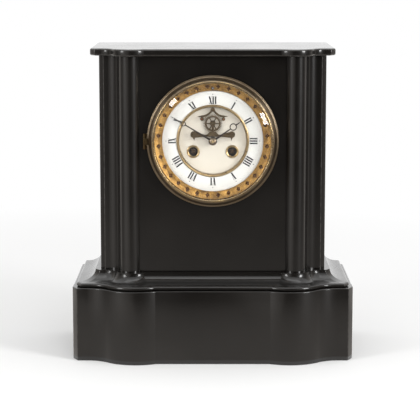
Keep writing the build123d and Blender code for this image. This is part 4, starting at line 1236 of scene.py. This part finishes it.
def painted_reflection_material():
    """A painted reflection, glowing though it is no lamp: a warm glow in upright bands that paint highlight
    streaks on the stone, brighter near the clock, that rises to white past its sides.
    """
    # Levels of the painted highlight streaks across the card, from its left end to its right
    bands = ((0.04, 0.3), (0.12, 0.5), (0.18, 0.5), (0.26, 0.4), (0.36, 0.28), (0.43, 0.03), (0.5, 0.0),
             (0.68, 0.02), (0.8, 0.1), (0.85, 0.22), (0.87, 0.22), (0.93, 0.1))
    end_level = 0.05
    warm_white = (1.0, 0.94, 0.88, 1.0)
    material, nodes, _ = new_material("painted_reflection_card")
    tree = material.node_tree
    tree.nodes.remove(tree.nodes["Principled BSDF"])
    place = nodes.place()
    away = nodes.distance(place)
    near = nodes.math("POWER", nodes.scaled(away, 0.1, 1.8, 1, 0), 2.0)
    parts = nodes.add("ShaderNodeSeparateXYZ", {0: place}).outputs
    aside = nodes.scaled(nodes.math("DIVIDE", parts["X"], away), -1, 1, 0, 1)
    ramp = nodes.add("ShaderNodeValToRGB", {"Fac": aside})
    for position, level in bands:
        ramp.color_ramp.elements.new(position).color = (level, level, level, 1)
    for end in (0, -1):
        ramp.color_ramp.elements[end].color = (end_level, end_level, end_level, 1)
    banded = nodes.times(ramp.outputs["Color"], nodes.scaled(away, 0.25, 0.8, 0.2, 1))
    front = nodes.plus(nodes.times(near, 0.55), banded)
    side = nodes.scaled(nodes.math("DIVIDE", parts["Y"], away), -0.2, 0.9, 0, 1)
    strength = nodes.math("MAXIMUM", front, side)
    glow = nodes.add("ShaderNodeEmission", {"Color": warm_white, "Strength": strength})
    nodes.link(glow.outputs[0], tree.nodes["Material Output"].inputs["Surface"])
    return material


def make_painted_reflection_card():
    """A dark curved card round the front, out of the camera's sight and casting no light or shadow, that the
    polished stone reflects: a painted reflection of shade and streaks.
    """
    section = [(50, 4), (800, 4), (1200, 4), (1700, 4), (2300, 30), (2600, 300), (2700, 1000), (2700, 2400)]
    reach = radians(135)
    columns = 54
    angles = [reach * (2 * i / columns - 1) for i in range(columns + 1)]
    shell = Shell()
    rows = [shell.loop([(radius * sin(a), -radius * cos(a), z) for a in angles]) for radius, z in section]
    for low, high in zip(rows, rows[1:]):
        shell.bridge(low, high, closed=False)
    card = stage_object(shell, "painted_reflection_card", painted_reflection_material())
    card.visible_camera = False
    card.visible_diffuse = False
    card.visible_shadow = False
    card.visible_transmission = False


def make_lamp(name, place, target, size, power):
    """A rectangular soft lamp turned to a point."""
    light = bpy.data.lights.new(name, "AREA")
    light.shape = "RECTANGLE"
    light.size, light.size_y = size
    light.energy = power
    lamp = placed(name, light)
    lamp.location = place
    lamp.rotation_euler = (Vector(target) - Vector(place)).to_track_quat("-Z", "Y").to_euler()
    return lamp


def make_lamps(stage):
    """Soft lamps at the sides, above and in front, and two small ones that glint on the glass alone."""
    case = (0, 0, 0.2)
    for side, name, power in zip((-1, 1), ("left_softbox", "right_softbox"), stage.side_power):
        make_lamp(name, (1.45 * side, -1.15, 0.75), case, (0.5, 0.9), power)
    make_lamp("top_softbox", (0, -0.1, 1.9), case, (1.6, 1.2), stage.top_power)
    front = make_lamp("front_softbox", (0.3, -1.9, 0.8), case, (0.7, 0.5), stage.front_power)
    front.visible_glossy = False
    dial = [v * MM for v in on_dial(0, 0, GLASS_FRONT)]
    glass = bpy.data.collections.new("lit_by_strips")
    glass.objects.link(bpy.data.objects["bevelled_bezel_glass"])
    strips = {"left_strip": ((-0.492, -2.0, 0.499), (0.08, 0.08)),
              "right_strip": ((0.643, -2.0, 0.296), (0.09, 0.15))}
    for name, (place, size) in strips.items():
        strip = make_lamp(name, place, dial, size, stage.strip_power * size[0] * size[1])
        strip.light_linking.receiver_collection = glass


def make_world(fill):
    """An even white surround, fainter as light than as background."""
    world = bpy.data.worlds.new("white_surround")
    bpy.context.scene.world = world
    world.use_nodes = True
    nodes = Nodes(world.node_tree)
    back = world.node_tree.nodes["Background"]
    back.inputs["Color"].default_value = (1, 1, 1, 1)
    nodes.link(nodes.scaled(background_rays(nodes), 0, 1, fill, 1.0), back.inputs["Strength"])


def make_camera(stage):
    """The camera at the photograph's place."""
    camera = bpy.data.cameras.new("camera")
    camera.lens = stage.lens
    camera.sensor_width = 36
    camera.clip_end = 100
    thing = placed("camera", camera)
    thing.location = stage.camera_place
    thing.rotation_euler = (stage.camera_tilt, 0, 0)
    bpy.context.scene.camera = thing


class CLOCK_OT_stage(bpy.types.Operator):
    """Set the floor, the lamps, the card of painted reflections and the camera"""

    bl_idname = "clock.stage"
    bl_label = "Stage"

    def execute(self, context):
        stage = context.scene.clock_stage
        make_floor(stage.floor)
        make_painted_reflection_card()
        make_lamps(stage)
        make_world(stage.fill)
        make_camera(stage)
        context.scene.view_settings.view_transform = "Standard"
        return {"FINISHED"}


class CLOCK_PT_dressing(bpy.types.Panel):
    """The steps that dress the clock"""

    bl_label = "Slate mantel clock"
    bl_space_type = "VIEW_3D"
    bl_region_type = "UI"
    bl_category = "Clock"

    def draw(self, context):
        for operator in operators:
            self.layout.operator(operator.bl_idname)
        for settings_name in settings:
            group = getattr(context.scene, settings_name)
            box = self.layout.box()
            for name in group.__annotations__:
                box.prop(group, name)


# The steps in their order: the movement's plain metals come first, and later steps repaint what shows
operators = (CLOCK_OT_finishes, CLOCK_OT_movement, CLOCK_OT_slate, CLOCK_OT_bezel, CLOCK_OT_dial,
             CLOCK_OT_figures, CLOCK_OT_hands, CLOCK_OT_escapement, CLOCK_OT_back, CLOCK_OT_stage)
settings = {"clock_slate": SlateSizes, "clock_dial": DialSizes, "clock_colours": ClockColours,
            "clock_stage": StageSettings}


def register():
    """Registers the settings, the operators and the panel."""
    for name, group in settings.items():
        bpy.utils.register_class(group)
        setattr(bpy.types.Scene, name, PointerProperty(type=group))
    for operator in operators:
        bpy.utils.register_class(operator)
    bpy.utils.register_class(CLOCK_PT_dressing)


def unregister():
    """Takes the panel, the operators and the settings out again."""
    bpy.utils.unregister_class(CLOCK_PT_dressing)
    for operator in reversed(operators):
        bpy.utils.unregister_class(operator)
    for name, group in settings.items():
        delattr(bpy.types.Scene, name)
        bpy.utils.unregister_class(group)


def main():
    register()
    for operator in operators:
        area, name = operator.bl_idname.split(".")
        getattr(getattr(bpy.ops, area), name)()


if __name__ == "__main__":
    main()
